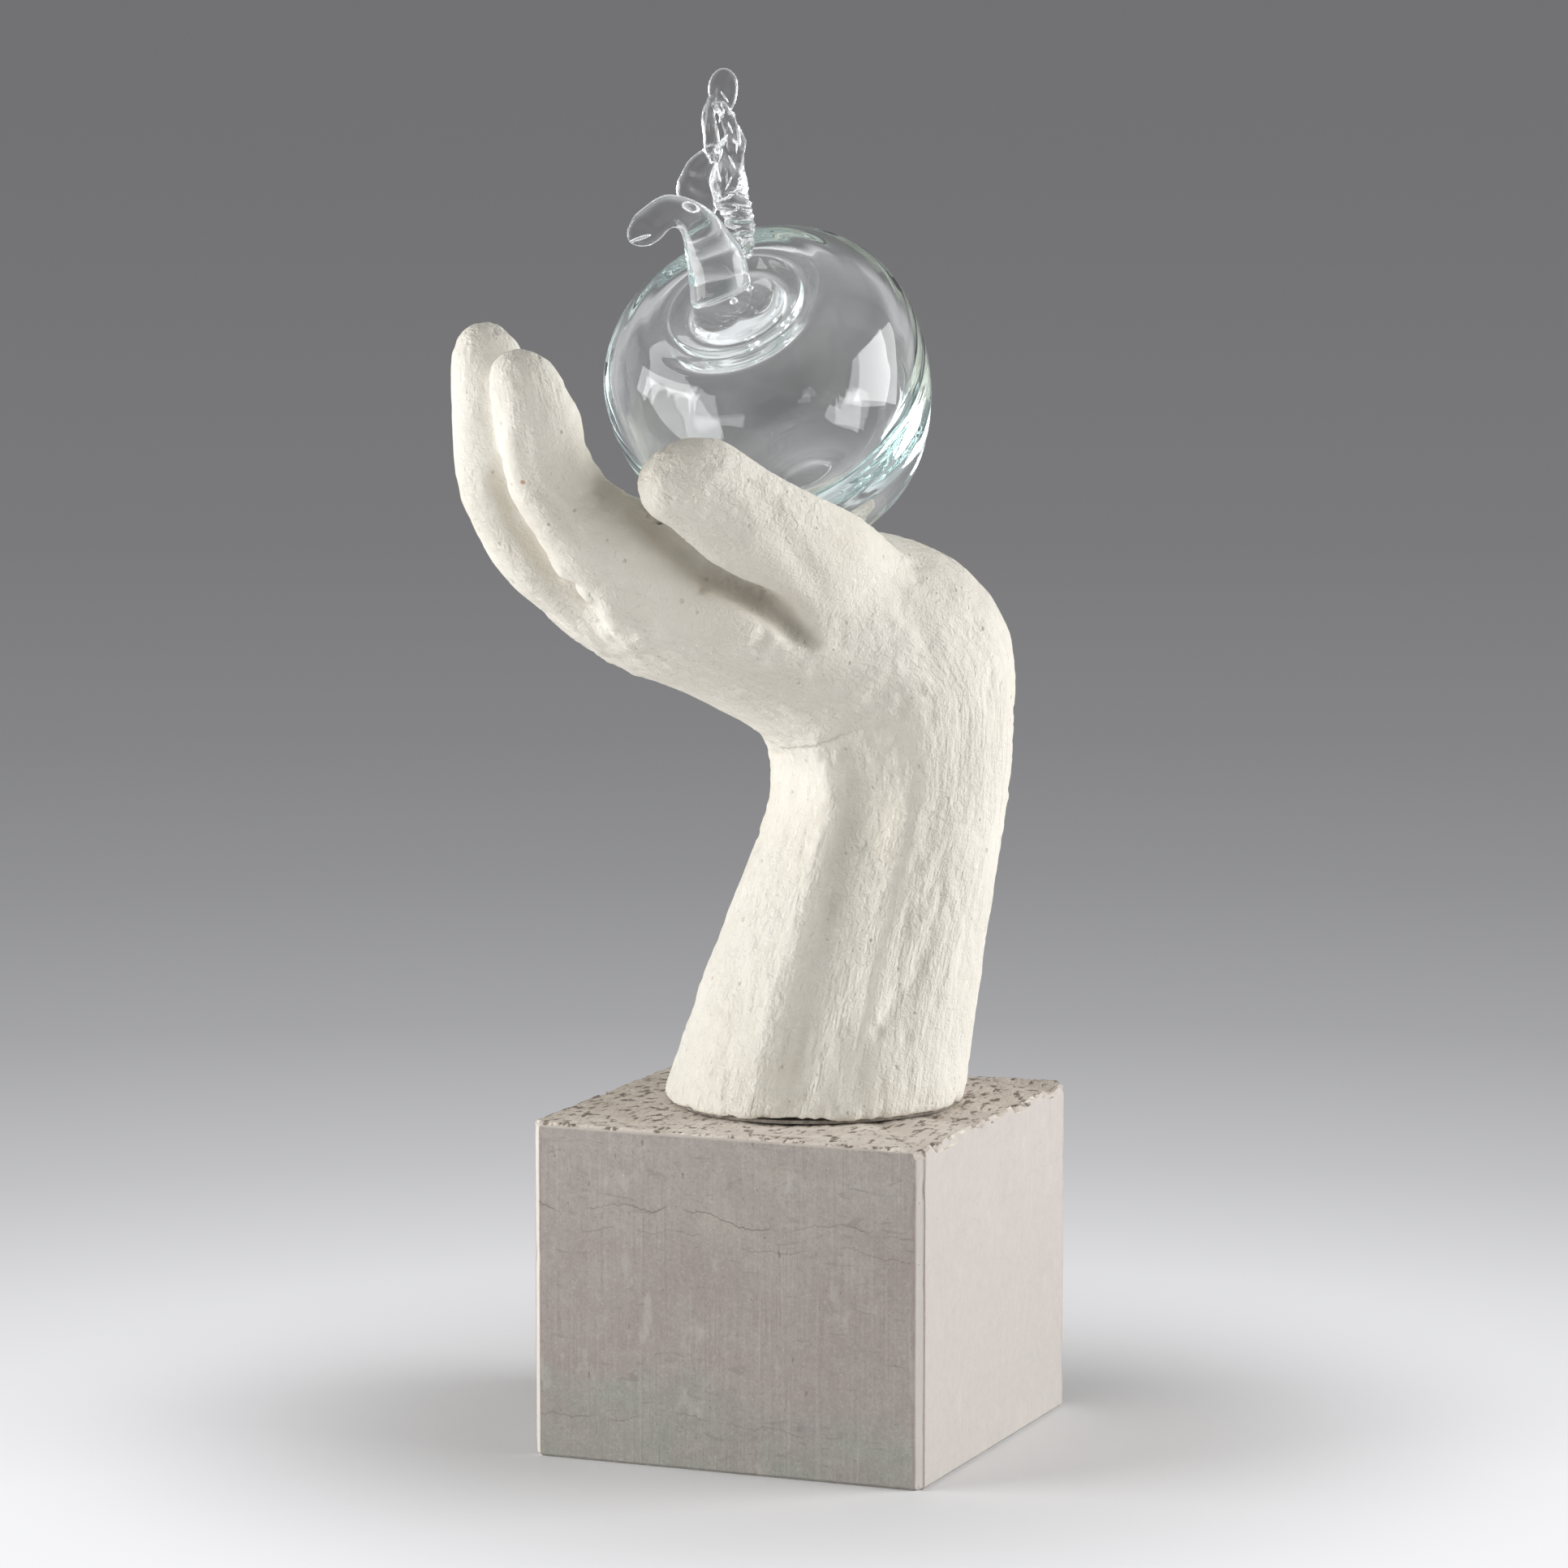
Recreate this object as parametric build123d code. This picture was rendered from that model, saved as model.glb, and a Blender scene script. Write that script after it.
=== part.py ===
from build123d import *
import math
import os

# A hand sculpture: a life-size left forearm and hand in unglazed white ceramic, bent back at the
# wrist, with a blown clear-glass apple lying loose in the palm, on a square block of sawn stone.
# Millimetres. Origin at the middle of the block's underside, +Z up, -Y towards the block's wide
# front. The hand is drawn in its own frame, +X the way the fingers point, +Y the thumb's side and
# +Z up, and is turned about Z to its heading. The stem and leaf are drawn in a frame that faces
# the front corner: +X to the right, -Y towards the viewer.

os.makedirs("parts", exist_ok=True)

# Stone block
block_width = 110.0
block_depth = 110.0
block_height = 90.0
block_corner_bevel = 2.2
block_rim_bevel = 0.8

# Fixing through the block: a threaded rod cast into the forearm and pulled down by a nut
rod_diameter = 8.0
rod_hole_diameter = 9.0
rod_grip_length = 50.0
rod_below_nut = 2.5
rod_end_bevel = 0.8
nut_across_flats = 13.0
nut_height = 6.5
washer_diameter = 24.0
washer_thickness = 2.0
recess_diameter = 32.0
recess_depth = 20.0

# Bedding of mortar under the forearm, and the plaster plug inside it
bedding_thickness = 0.8
bedding_inset = 1.6
plug_height = 60.0

# Forearm and hand. Places in the tables are shares of the palm's length from the wrist's middle,
# and heights below the wrist are shares of the forearm's length
hand_heading = 225.0
forearm_length = 90.0
palm_length = 100.0
wrist_behind_block_middle = 26.0
ceramic_wall = 9.0

# Glass apple: blown shell with a dimple at top and bottom, the top one open at the neck, and
# thicker towards the base. Its lowest point lies a little under the level of the palm's hollow
apple_radius = 42.5
apple_wall = 4.0
apple_base_wall = 8.0
apple_sunk = 4.3
apple_tilt = 41.4
apple_tilt_heading = 39.9
seat_clearance = 0.3

# Glass worked on to the apple. Places in the tables are shares of the topping's span
front_heading = 22.1
topping_span = 50.0

# Modelling values
overrun = 1.0
section_spacing = 7.0
ring_points = 16
cavity_rows = 4
arm_squareness = 2.15
finger_squareness = 2.2
glass_squareness = 2.0

foot_up = block_height + bedding_thickness
wrist = Vector(-wrist_behind_block_middle, 0, foot_up + forearm_length)

# Each row is one section of a limb: a point on the back of the hand (forward, up), the point
# opposite it on the palm's side (forward, up), how far to the thumb's side, and half the width
arm_shares = [
    (0.620, -1.000, -0.170, -1.000, -0.019, 0.398), (0.464, -0.532, -0.228, -0.581, -0.011, 0.360),
    (0.325, -0.139, -0.285, -0.178, -0.003, 0.332), (0.322, 0.020, -0.312, 0.112, 0.000, 0.334),
    (0.354, 0.070, -0.298, 0.350, 0.000, 0.356), (0.418, 0.113, -0.166, 0.529, 0.000, 0.376),
    (0.494, 0.153, 0.049, 0.608, 0.000, 0.386), (0.625, 0.221, 0.350, 0.608, 0.000, 0.392),
    (0.770, 0.278, 0.600, 0.640, 0.000, 0.386), (0.872, 0.345, 0.750, 0.645, 0.000, 0.350),
]
index_shares = [
    (0.750, 0.345, 0.620, 0.620, 0.258, 0.090), (0.835, 0.350, 0.700, 0.660, 0.263, 0.093),
    (0.985, 0.495, 0.835, 0.751, 0.268, 0.094), (1.126, 0.668, 0.920, 0.792, 0.270, 0.094),
    (1.182, 0.752, 0.959, 0.838, 0.270, 0.094), (1.210, 0.862, 0.994, 0.904, 0.268, 0.093),
    (1.224, 0.952, 1.001, 0.972, 0.265, 0.092), (1.232, 1.032, 1.036, 1.027, 0.262, 0.086),
]
middle_shares = [
    (0.770, 0.320, 0.640, 0.600, 0.086, 0.090), (0.862, 0.318, 0.730, 0.632, 0.087, 0.093),
    (0.978, 0.414, 0.826, 0.690, 0.088, 0.093), (1.084, 0.496, 0.905, 0.702, 0.089, 0.093),
    (1.202, 0.652, 0.993, 0.767, 0.090, 0.093), (1.248, 0.734, 1.025, 0.807, 0.090, 0.093),
    (1.268, 0.838, 1.053, 0.872, 0.089, 0.093), (1.273, 0.942, 1.063, 0.957, 0.088, 0.093),
    (1.274, 1.052, 1.075, 1.052, 0.086, 0.088),
]
ring_shares = [
    (0.750, 0.325, 0.620, 0.590, -0.086, 0.090), (0.842, 0.324, 0.710, 0.622, -0.089, 0.093),
    (0.946, 0.408, 0.800, 0.674, -0.090, 0.093), (1.040, 0.486, 0.868, 0.687, -0.090, 0.093),
    (1.146, 0.634, 0.945, 0.742, -0.090, 0.093), (1.184, 0.718, 0.973, 0.782, -0.090, 0.093),
    (1.202, 0.812, 0.996, 0.837, -0.090, 0.092), (1.206, 0.892, 1.006, 0.902, -0.089, 0.091),
    (1.199, 0.962, 1.020, 0.967, -0.087, 0.086),
]
little_shares = [
    (0.690, 0.340, 0.570, 0.570, -0.244, 0.084), (0.785, 0.332, 0.660, 0.600, -0.254, 0.088),
    (0.868, 0.390, 0.736, 0.628, -0.260, 0.089), (0.944, 0.454, 0.792, 0.640, -0.262, 0.089),
    (1.046, 0.604, 0.870, 0.697, -0.262, 0.088), (1.076, 0.682, 0.898, 0.732, -0.260, 0.087),
    (1.086, 0.757, 0.916, 0.774, -0.257, 0.085), (1.084, 0.800, 0.926, 0.804, -0.254, 0.080),
]
thumb_shares = [
    (0.090, 0.180, -0.080, 0.390, 0.090, 0.110), (0.260, 0.308, 0.075, 0.570, 0.205, 0.124),
    (0.416, 0.398, 0.232, 0.680, 0.298, 0.130), (0.570, 0.504, 0.408, 0.760, 0.362, 0.124),
    (0.716, 0.598, 0.564, 0.837, 0.400, 0.114), (0.804, 0.678, 0.671, 0.905, 0.416, 0.108),
]
# Tips: forward, up, to the thumb's side
palm_tip_shares = (0.930, 0.540, 0.000)
index_tip_shares = (1.160, 1.138, 0.262)
middle_tip_shares = (1.193, 1.198, 0.090)
ring_tip_shares = (1.118, 1.088, -0.090)
little_tip_shares = (1.003, 0.896, -0.252)
thumb_tip_shares = (0.882, 0.836, 0.420)
# How far along the last stretch each rounding section of a tip lies
tip_round_shares = (0.42, 0.72, 0.91, 0.985)
# Where the apple lies on the palm: forward, up, to the thumb's side
apple_seat_shares = (0.358, 0.608, 0.020)

def outline(centre, thick_way, side_way, half_thick, half_wide, squareness):
    """A closed smooth outline about a centre: an ellipse at squareness 2, boxier above it."""
    points = []
    for i in range(ring_points):
        turn = 2 * math.pi * i / ring_points
        up_part, side_part = math.cos(turn), math.sin(turn)
        thick = math.copysign(abs(up_part) ** (2 / squareness), up_part) * half_thick
        wide = math.copysign(abs(side_part) ** (2 / squareness), side_part) * half_wide
        points.append(centre + thick_way * thick + side_way * wide)
    return Wire([Edge.make_spline(points, periodic=True)])


def spot(origin, forward, side, up, span, drop):
    """A point from its shares: heights below the origin are shares of the drop."""
    return origin + Vector(forward * span, side * span, up * (span if up > 0 else drop))


def sections(rows, origin, span, tip=None, drop=0.0, inset=0.0):
    """Rows of shares as (centre, way through the thickness, half thickness, half width)."""
    found = []
    for back_x, back_z, front_x, front_z, side, half_wide in rows:
        back = spot(origin, back_x, side, back_z, span, drop)
        front = spot(origin, front_x, side, front_z, span, drop)
        through = front - back
        half = through.length / 2
        found.append(((back + front) * 0.5, through.normalized(), half - inset, half_wide * span - inset))
    if tip:
        centre, way, half, wide = found[-1]
        end = origin + Vector(tip[0], tip[2], tip[1]) * span
        for along in tip_round_shares:
            shrink = math.sqrt(1 - along * along)
            found.append((centre + (end - centre) * along, way, half * shrink, wide * shrink))
    return found


def blended(found):
    """Adds sections between the given ones along a smooth curve through all of them."""
    flat = [(*centre, *way, half, wide) for centre, way, half, wide in found]
    reach = [0.0]
    for i in range(1, len(found)):
        reach.append(reach[-1] + (found[i][0] - found[i - 1][0]).length)
    last = len(flat) - 1
    slopes = []
    for i in range(len(flat)):
        low, high = max(i - 1, 0), min(i + 1, last)
        slopes.append([(b - a) / (reach[high] - reach[low]) for a, b in zip(flat[low], flat[high])])
    filled = []
    for i in range(last):
        gap = reach[i + 1] - reach[i]
        steps = max(1, round(gap / section_spacing))
        for j in range(steps):
            t = j / steps
            start, end = 1 - 3 * t * t + 2 * t ** 3, 3 * t * t - 2 * t ** 3
            leave, arrive = t - 2 * t * t + t ** 3, t ** 3 - t * t
            row = [
                start * p + end * q + gap * (leave * u + arrive * v)
                for p, q, u, v in zip(flat[i], flat[i + 1], slopes[i], slopes[i + 1])
            ]
            filled.append((Vector(*row[:3]), Vector(*row[3:6]).normalized(), row[6], row[7]))
    return filled + [found[-1]]


def limb(found, squareness):
    """One solid drawn through the given sections, filled in between them."""
    return Solid.make_loft([
        outline(centre, way, Vector(0, 1, 0), half, wide, squareness)
        for centre, way, half, wide in blended(found)
    ], ruled=True)


def hand_limb(rows, tip=None, squareness=finger_squareness):
    return limb(sections(rows, wrist, palm_length, tip), squareness)


def on_block(shape):
    """Turns a shape drawn in the hand's frame to its place over the block."""
    return shape.rotate(Axis.Z, hand_heading)


# Apple profile: radius and height along its own axis, as shares of its radius
apple_outside_shares = [
    (0.094, 0.689), (0.282, 0.711), (0.424, 0.762), (0.588, 0.791), (0.767, 0.696), (0.913, 0.532),
    (0.986, 0.315), (1.000, 0.094), (0.981, -0.118), (0.936, -0.309), (0.862, -0.503),
    (0.755, -0.688), (0.606, -0.832), (0.420, -0.925), (0.259, -0.941), (0.141, -0.918), (0.000, -0.885),
]
collar_outline_shares = [
    (0.000, 0.645), (0.100, 0.650), (0.285, 0.685), (0.300, 0.735), (0.262, 0.780), (0.130, 0.795), (0.000, 0.795),
]
button_outline_shares = [
    (0.000, -0.855), (0.130, -0.885), (0.170, -0.925), (0.130, -0.942), (0.000, -0.945),
]
seat_lip_share = 0.588
seat_base_share = 0.259
# Heights between which the wall thickens
thin_height_share = 0.15
thick_height_share = -0.65


def apple_points(shares):
    return [Vector(radius * apple_radius, 0, height * apple_radius) for radius, height in shares]


def wall_at(height_share):
    """Thickness of the apple's wall at a height."""
    down = (thin_height_share - height_share) / (thin_height_share - thick_height_share)
    down = min(max(down, 0), 1)
    return apple_wall + (apple_base_wall - apple_wall) * down * down * (3 - 2 * down)


def drawn_in(points, distances):
    """Points of a profile moved inwards, square to it, each by its own distance."""
    moved = []
    for i, (point, distance) in enumerate(zip(points, distances)):
        before, after = points[max(i - 1, 0)], points[min(i + 1, len(points) - 1)]
        along = (after - before).normalized()
        square = Vector(along.Z, 0, -along.X) if point.X else Vector(0, 0, 1)
        moved.append(point + square * distance)
    return moved


def turned(edges):
    """Spins a closed profile about the apple's axis."""
    return revolve(Face(Wire(edges)), Axis.Z)


seat_forward, seat_up, seat_side = apple_seat_shares
apple_middle = wrist + Vector(seat_forward, seat_side, seat_up) * palm_length
apple_middle = apple_middle + Vector(0, 0, apple_radius - apple_sunk)


def tilted(shape):
    """Leans a shape on the apple's axis over and carries it to the palm."""
    leaning = shape.rotate(Axis.Y, apple_tilt).rotate(Axis.Z, apple_tilt_heading)
    return on_block(leaning.translate(apple_middle))


outside = apple_points(apple_outside_shares)
inside = drawn_in(outside, [wall_at(height) for _, height in apple_outside_shares])
outer_line = Edge.make_spline(outside)
inner_line = Edge.make_spline(inside)
apple_upright = turned([
    outer_line, Edge.make_line(outside[-1], inside[-1]), inner_line, Edge.make_line(inside[0], outside[0]),
])


def apple_envelope(extra):
    """The apple's outside with both dimples filled flat, grown by a clearance."""
    line = drawn_in(outside, [-extra] * len(outside))
    lip = next(i for i, share in enumerate(apple_outside_shares) if share[0] == seat_lip_share)
    base = next(i for i, share in enumerate(apple_outside_shares) if share[0] == seat_base_share)
    kept = line[lip:base + 1]
    top, bottom = Vector(0, 0, kept[0].Z), Vector(0, 0, kept[-1].Z)
    return turned([
        Edge.make_line(top, kept[0]), Edge.make_spline(kept), Edge.make_line(kept[-1], bottom),
        Edge.make_line(bottom, top),
    ])


def lathe(shares):
    points = apple_points(shares)
    return turned([Edge.make_spline(points), Edge.make_line(points[-1], points[0])])


collar_upright = lathe(collar_outline_shares) - apple_upright
button_upright = lathe(button_outline_shares) - apple_upright
apple_body = tilted(apple_upright)
stem_collar = tilted(collar_upright)
base_button = tilted(button_upright)

# Stem and leaf: left point (across, up), right point (across, up), depth away, half the depth
stem_shares = [
    (-0.250, 0.030, 0.090, 0.160, 0.000, 0.165), (-0.262, 0.120, 0.064, 0.238, 0.000, 0.158),
    (-0.274, 0.250, -0.024, 0.350, 0.000, 0.120), (-0.300, 0.370, -0.130, 0.490, 0.000, 0.090),
    (-0.350, 0.410, -0.290, 0.600, 0.000, 0.066), (-0.430, 0.350, -0.420, 0.585, 0.000, 0.050),
    (-0.512, 0.330, -0.510, 0.520, 0.000, 0.040),
]
stem_tip_shares = (-0.594, 0.375, 0.000)
leaf_shares = [
    (-0.060, 0.140, 0.090, 0.220, 0.120, 0.060), (-0.150, 0.340, 0.086, 0.360, 0.150, 0.055),
    (-0.264, 0.520, 0.074, 0.480, 0.165, 0.048), (-0.320, 0.600, 0.054, 0.570, 0.165, 0.045),
    (-0.278, 0.690, 0.044, 0.680, 0.165, 0.045), (-0.224, 0.780, 0.034, 0.785, 0.165, 0.045),
    (-0.174, 0.850, 0.030, 0.870, 0.165, 0.045), (-0.184, 0.950, 0.006, 0.955, 0.165, 0.044),
    (-0.174, 1.030, -0.036, 1.025, 0.165, 0.044), (-0.158, 1.120, -0.004, 1.115, 0.165, 0.042),
    (-0.142, 1.185, -0.016, 1.185, 0.165, 0.036),
]
leaf_tip_shares = (-0.066, 1.274, 0.165)
neck_share = 0.689

neck_marker = Vector(0, 0, neck_share * apple_radius).rotate(Axis.Y, apple_tilt)
neck_marker = neck_marker.rotate(Axis.Z, apple_tilt_heading) + apple_middle
neck_marker = neck_marker.rotate(Axis.Z, hand_heading)
front_turn = math.radians(front_heading)
neck_across = neck_marker.X * math.cos(front_turn) + neck_marker.Y * math.sin(front_turn)
neck_away = neck_marker.Y * math.cos(front_turn) - neck_marker.X * math.sin(front_turn)
neck = Vector(neck_across, neck_away, neck_marker.Z)


def topping(rows, tip):
    found = sections(rows, neck, topping_span, tip)
    return limb(found, glass_squareness).rotate(Axis.Z, front_heading)


stem_whole = topping(stem_shares, stem_tip_shares)
apple_stem = stem_whole - stem_collar - apple_body
apple_leaf = topping(leaf_shares, leaf_tip_shares) - stem_collar - apple_body - stem_whole

# Ceramic hand: forearm, palm, thumb and four fingers in one piece, hollow up to the wrist
arm_sections = sections(arm_shares, wrist, palm_length, palm_tip_shares, forearm_length)
arm = limb(arm_sections, arm_squareness)
digits = [
    hand_limb(index_shares, index_tip_shares), hand_limb(middle_shares, middle_tip_shares),
    hand_limb(ring_shares, ring_tip_shares), hand_limb(little_shares, little_tip_shares),
    hand_limb(thumb_shares, thumb_tip_shares),
]
cavity_sections = sections(
    arm_shares[:cavity_rows], wrist, palm_length, drop=forearm_length, inset=ceramic_wall)
cavity = limb(cavity_sections, arm_squareness)
hand_solid = arm
for digit in digits:
    hand_solid = hand_solid.fuse(digit)
hand_solid = hand_solid - cavity
ceramic_hand = on_block(hand_solid) - tilted(apple_envelope(seat_clearance))

# Plaster plug that fills the lower forearm round the rod
rod_place = arm_sections[0][0].rotate(Axis.Z, hand_heading)
rod_spot = Location((rod_place.X, rod_place.Y, 0))


def upright_cylinder(diameter, low, high):
    return rod_spot * Pos(0, 0, low) * Cylinder(
        diameter / 2, high - low, align=(Align.CENTER, Align.CENTER, Align.MIN))


keep = Pos(0, 0, foot_up) * Box(
    block_width + block_depth, block_width + block_depth, plug_height,
    align=(Align.CENTER, Align.CENTER, Align.MIN))
rod_top = foot_up + rod_grip_length
washer_low = recess_depth - washer_thickness
nut_low = washer_low - nut_height
rod_low = nut_low - rod_below_nut
fixing_rod = chamfer(upright_cylinder(rod_diameter, rod_low, rod_top).edges(), rod_end_bevel)
rod_plug = (on_block(cavity) & keep) - upright_cylinder(rod_diameter, foot_up - overrun, rod_top)

base_washer = upright_cylinder(washer_diameter, washer_low, recess_depth) - upright_cylinder(
    rod_hole_diameter, washer_low - overrun, recess_depth + overrun)
nut_body = rod_spot * Pos(0, 0, nut_low) * extrude(
    RegularPolygon(nut_across_flats / 2, 6, major_radius=False), nut_height)
base_nut = nut_body - upright_cylinder(rod_diameter, nut_low - overrun, washer_low + overrun)

# Stone block with the rod's hole and the nut's recess
block = Box(block_width, block_depth, block_height, align=(Align.CENTER, Align.CENTER, Align.MIN))
block = chamfer(block.edges().filter_by(Axis.Z), block_corner_bevel)
block = chamfer(block.faces().sort_by(Axis.Z)[-1].edges(), block_rim_bevel)
block = chamfer(block.faces().sort_by(Axis.Z)[0].edges(), block_rim_bevel)
stone_base = (
    block
    - upright_cylinder(rod_hole_diameter, -overrun, block_height + overrun)
    - upright_cylinder(recess_diameter, -overrun, recess_depth)
)

foot_centre, foot_way, foot_half, foot_wide = arm_sections[0]
bedding_line = outline(
    foot_centre - Vector(0, 0, bedding_thickness), foot_way, Vector(0, 1, 0),
    foot_half - bedding_inset, foot_wide - bedding_inset, arm_squareness)
bedding_mortar = on_block(extrude(Face(bedding_line), bedding_thickness, dir=(0, 0, 1)))
bedding_mortar = bedding_mortar - upright_cylinder(rod_hole_diameter, block_height - overrun, foot_up + overrun)

pieces = {
    "stone_base": stone_base,
    "bedding_mortar": bedding_mortar,
    "ceramic_hand": ceramic_hand,
    "rod_plug": rod_plug,
    "fixing_rod": fixing_rod,
    "base_washer": base_washer,
    "base_nut": base_nut,
    "apple_body": apple_body,
    "base_button": base_button,
    "stem_collar": stem_collar,
    "apple_stem": apple_stem,
    "apple_leaf": apple_leaf,
}
for name, piece in pieces.items():
    export_step(piece, f"parts/{name}.step")
    print(name, len(piece.solids()), round(piece.volume), piece.is_valid)
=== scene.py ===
# %% [markdown]
# # A ceramic hand that holds a glass apple
# The real object is a life-size forearm and hand in unglazed white ceramic, bent back at the wrist,
# with a blown-glass apple lying loose in the palm, on a square block of sawn limestone.
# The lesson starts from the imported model: it gives every piece its place, and the looks are built
# around it, in metres, in the same frame.

import math
from contextlib import contextmanager

import bmesh
import bpy
import numpy as np
from mathutils import Matrix, Vector, noise


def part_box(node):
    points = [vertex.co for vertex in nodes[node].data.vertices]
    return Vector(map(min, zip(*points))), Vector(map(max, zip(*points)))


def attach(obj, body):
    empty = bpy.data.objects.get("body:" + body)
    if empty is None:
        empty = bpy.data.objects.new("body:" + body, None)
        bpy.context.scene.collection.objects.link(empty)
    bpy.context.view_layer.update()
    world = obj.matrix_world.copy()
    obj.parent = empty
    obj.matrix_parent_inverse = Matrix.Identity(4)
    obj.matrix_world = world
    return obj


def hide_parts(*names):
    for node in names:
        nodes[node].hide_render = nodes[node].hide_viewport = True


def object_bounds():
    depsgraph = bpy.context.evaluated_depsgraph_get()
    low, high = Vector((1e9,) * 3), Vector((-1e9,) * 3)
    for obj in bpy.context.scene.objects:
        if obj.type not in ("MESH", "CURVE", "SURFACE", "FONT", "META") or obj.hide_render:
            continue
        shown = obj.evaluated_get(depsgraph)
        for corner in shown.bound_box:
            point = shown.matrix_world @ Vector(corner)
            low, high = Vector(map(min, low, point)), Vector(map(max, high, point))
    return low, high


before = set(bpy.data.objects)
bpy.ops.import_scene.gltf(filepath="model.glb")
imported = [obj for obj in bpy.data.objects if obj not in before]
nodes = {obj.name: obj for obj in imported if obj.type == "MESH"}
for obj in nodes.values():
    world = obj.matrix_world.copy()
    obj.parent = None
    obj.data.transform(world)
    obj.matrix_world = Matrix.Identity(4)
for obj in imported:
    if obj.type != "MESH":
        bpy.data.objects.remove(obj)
cad_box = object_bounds()
MM = 0.001
bpy.ops.object.select_all(action="DESELECT")
print("nodes", sorted(nodes))
print("box", [tuple(round(v, 4) for v in corner) for corner in cad_box])

# %% [markdown]
# ## The camera
# The picture was taken from a little above, round to the right of the block's wide face, with a
# long lens. The camera's bearing, height and distance were fitted to the block's corners.

# %% Camera
camera_bearing = math.radians(22.11)
camera_lift = math.radians(7.374)
camera_distance = 1.7262
camera_lens, film_width = 149.07, 36
middle_across, middle_up = -0.00526, 0.17527


def way_out(bearing, lift):
    """The direction out of the object at a bearing from the wide face's normal, and a lift."""
    level = math.cos(lift)
    return Vector((math.sin(bearing) * level, -math.cos(bearing) * level, math.sin(lift)))


rightwards = Vector((math.cos(camera_bearing), math.sin(camera_bearing), 0))
away = Vector((-rightwards.y, rightwards.x, 0))
backwards = way_out(camera_bearing, camera_lift)
look_at = rightwards * middle_across + Vector((0, 0, middle_up))
aim = Matrix((rightwards, backwards.cross(rightwards), backwards)).transposed().to_euler()
bpy.ops.object.camera_add(location=look_at + backwards * camera_distance, rotation=aim)
camera = bpy.context.object
camera.data.lens = camera_lens
camera.data.sensor_width = film_width
camera.data.dof.use_dof = False
bpy.context.scene.camera = camera
bpy.context.scene.view_settings.view_transform = "Standard"
print("camera at", tuple(round(v, 3) for v in camera.location))

# %% [markdown]
# ## Handling a piece
# Operators act on whatever is selected, so every step first makes one piece the only selected one.
# A with block goes into edit mode and comes out again, so that no step forgets to. Modifiers are
# applied as soon as they are set, because the mesh that is seen is the mesh kept.


# %% Helpers: selecting and modifying
def only(piece):
    """Makes one piece the selected and active one, out of edit mode."""
    if bpy.context.object and bpy.context.object.mode != "OBJECT":
        bpy.ops.object.mode_set(mode="OBJECT")
    bpy.ops.object.select_all(action="DESELECT")
    piece.select_set(True)
    bpy.context.view_layer.objects.active = piece


@contextmanager
def editing(piece):
    """Edit mode with all of a piece selected, and object mode again afterwards."""
    only(piece)
    bpy.ops.object.mode_set(mode="EDIT")
    bpy.ops.mesh.select_all(action="SELECT")
    yield
    bpy.ops.object.mode_set(mode="OBJECT")


def modify(piece, kind, **settings):
    """Adds a modifier with its settings and applies it."""
    only(piece)
    bpy.ops.object.modifier_add(type=kind)
    modifier = piece.modifiers[-1]
    for name, value in settings.items():
        setattr(modifier, name, value)
    bpy.ops.object.modifier_apply(modifier=modifier.name)


def tell(piece):
    triangles = sum(len(face.vertices) - 2 for face in piece.data.polygons)
    spread = [round(side / MM, 1) for side in piece.dimensions]
    print(piece.name, triangles, "triangles,", spread, "mm")


# %% [markdown]
# ## The ceramic hand: its mass
# The hand is one hollow casting, modelled in clay. The CAD solid already has its proportions, but
# as limbs set into each other with hard lines between. A voxel remesh turns a copy of it into an
# even skin of small squares, and smoothing melts the lines the way wet clay is rubbed together.

# %% Hand: an even skin
skin_voxel = 1.15 * MM
hand = bpy.data.objects.new("hand_form", nodes["ceramic_hand"].data.copy())
bpy.context.collection.objects.link(hand)
hand.data.materials.clear()
with editing(hand):
    bpy.ops.mesh.remove_doubles(threshold=0.005 * MM)
modify(hand, "REMESH", mode="VOXEL", voxel_size=skin_voxel, use_smooth_shade=True)
modify(hand, "SMOOTH", factor=0.5, iterations=10)
tell(hand)

# %% [markdown]
# ## Rubbing the roots of the fingers
# Where the thumb and fingers leave the palm, clay was added and rubbed smooth. More smoothing over
# the whole hand would take its fingertips away, so it only acts in a few round places.


# %% Hand: rubbed places
def vectors_of(piece, kind="co"):
    """All of a piece's points, or its normals, as rows of three numbers."""
    flat = np.empty(len(piece.data.vertices) * 3)
    piece.data.vertices.foreach_get(kind, flat)
    return flat.reshape(-1, 3)


def put_points(piece, points):
    piece.data.vertices.foreach_set("co", np.ascontiguousarray(points, float).ravel())
    piece.data.update()


def rub(piece, places, iterations, core=1.3):
    """Smooths a piece only near the given places. A core over 1 widens what is fully rubbed."""
    group = piece.vertex_groups.new(name="rubbed")
    points = vectors_of(piece)
    strength = np.zeros(len(points))
    for middle, reach in places:
        off = np.linalg.norm(points - np.array(middle) * MM, axis=1) / (reach * MM)
        strength = np.maximum(strength, np.clip(core * (1 - off), 0, 1))
    for i in np.nonzero(strength)[0]:
        group.add([int(i)], float(strength[i]), "REPLACE")
    modify(piece, "SMOOTH", factor=0.5, iterations=iterations, vertex_group="rubbed")
    piece.vertex_groups.clear()
    print("rubbed points", np.count_nonzero(strength))


# place and reach in mm: the thumb's root, the forefinger's root and the knuckles
rub(hand, [
    ((32, -12, 234), 17), ((34, -18, 225), 15), ((25, -29, 222), 12), ((17, -36, 226), 9),
    ((-33, -79, 241), 9), ((-22, -73, 239), 11), ((-13, -63, 234), 11), ((-28, -80, 256), 9),
    ((-34, -59, 223), 8), ((-4, -55, 228), 9), ((-50, -73, 250), 7),
], 90)

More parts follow.
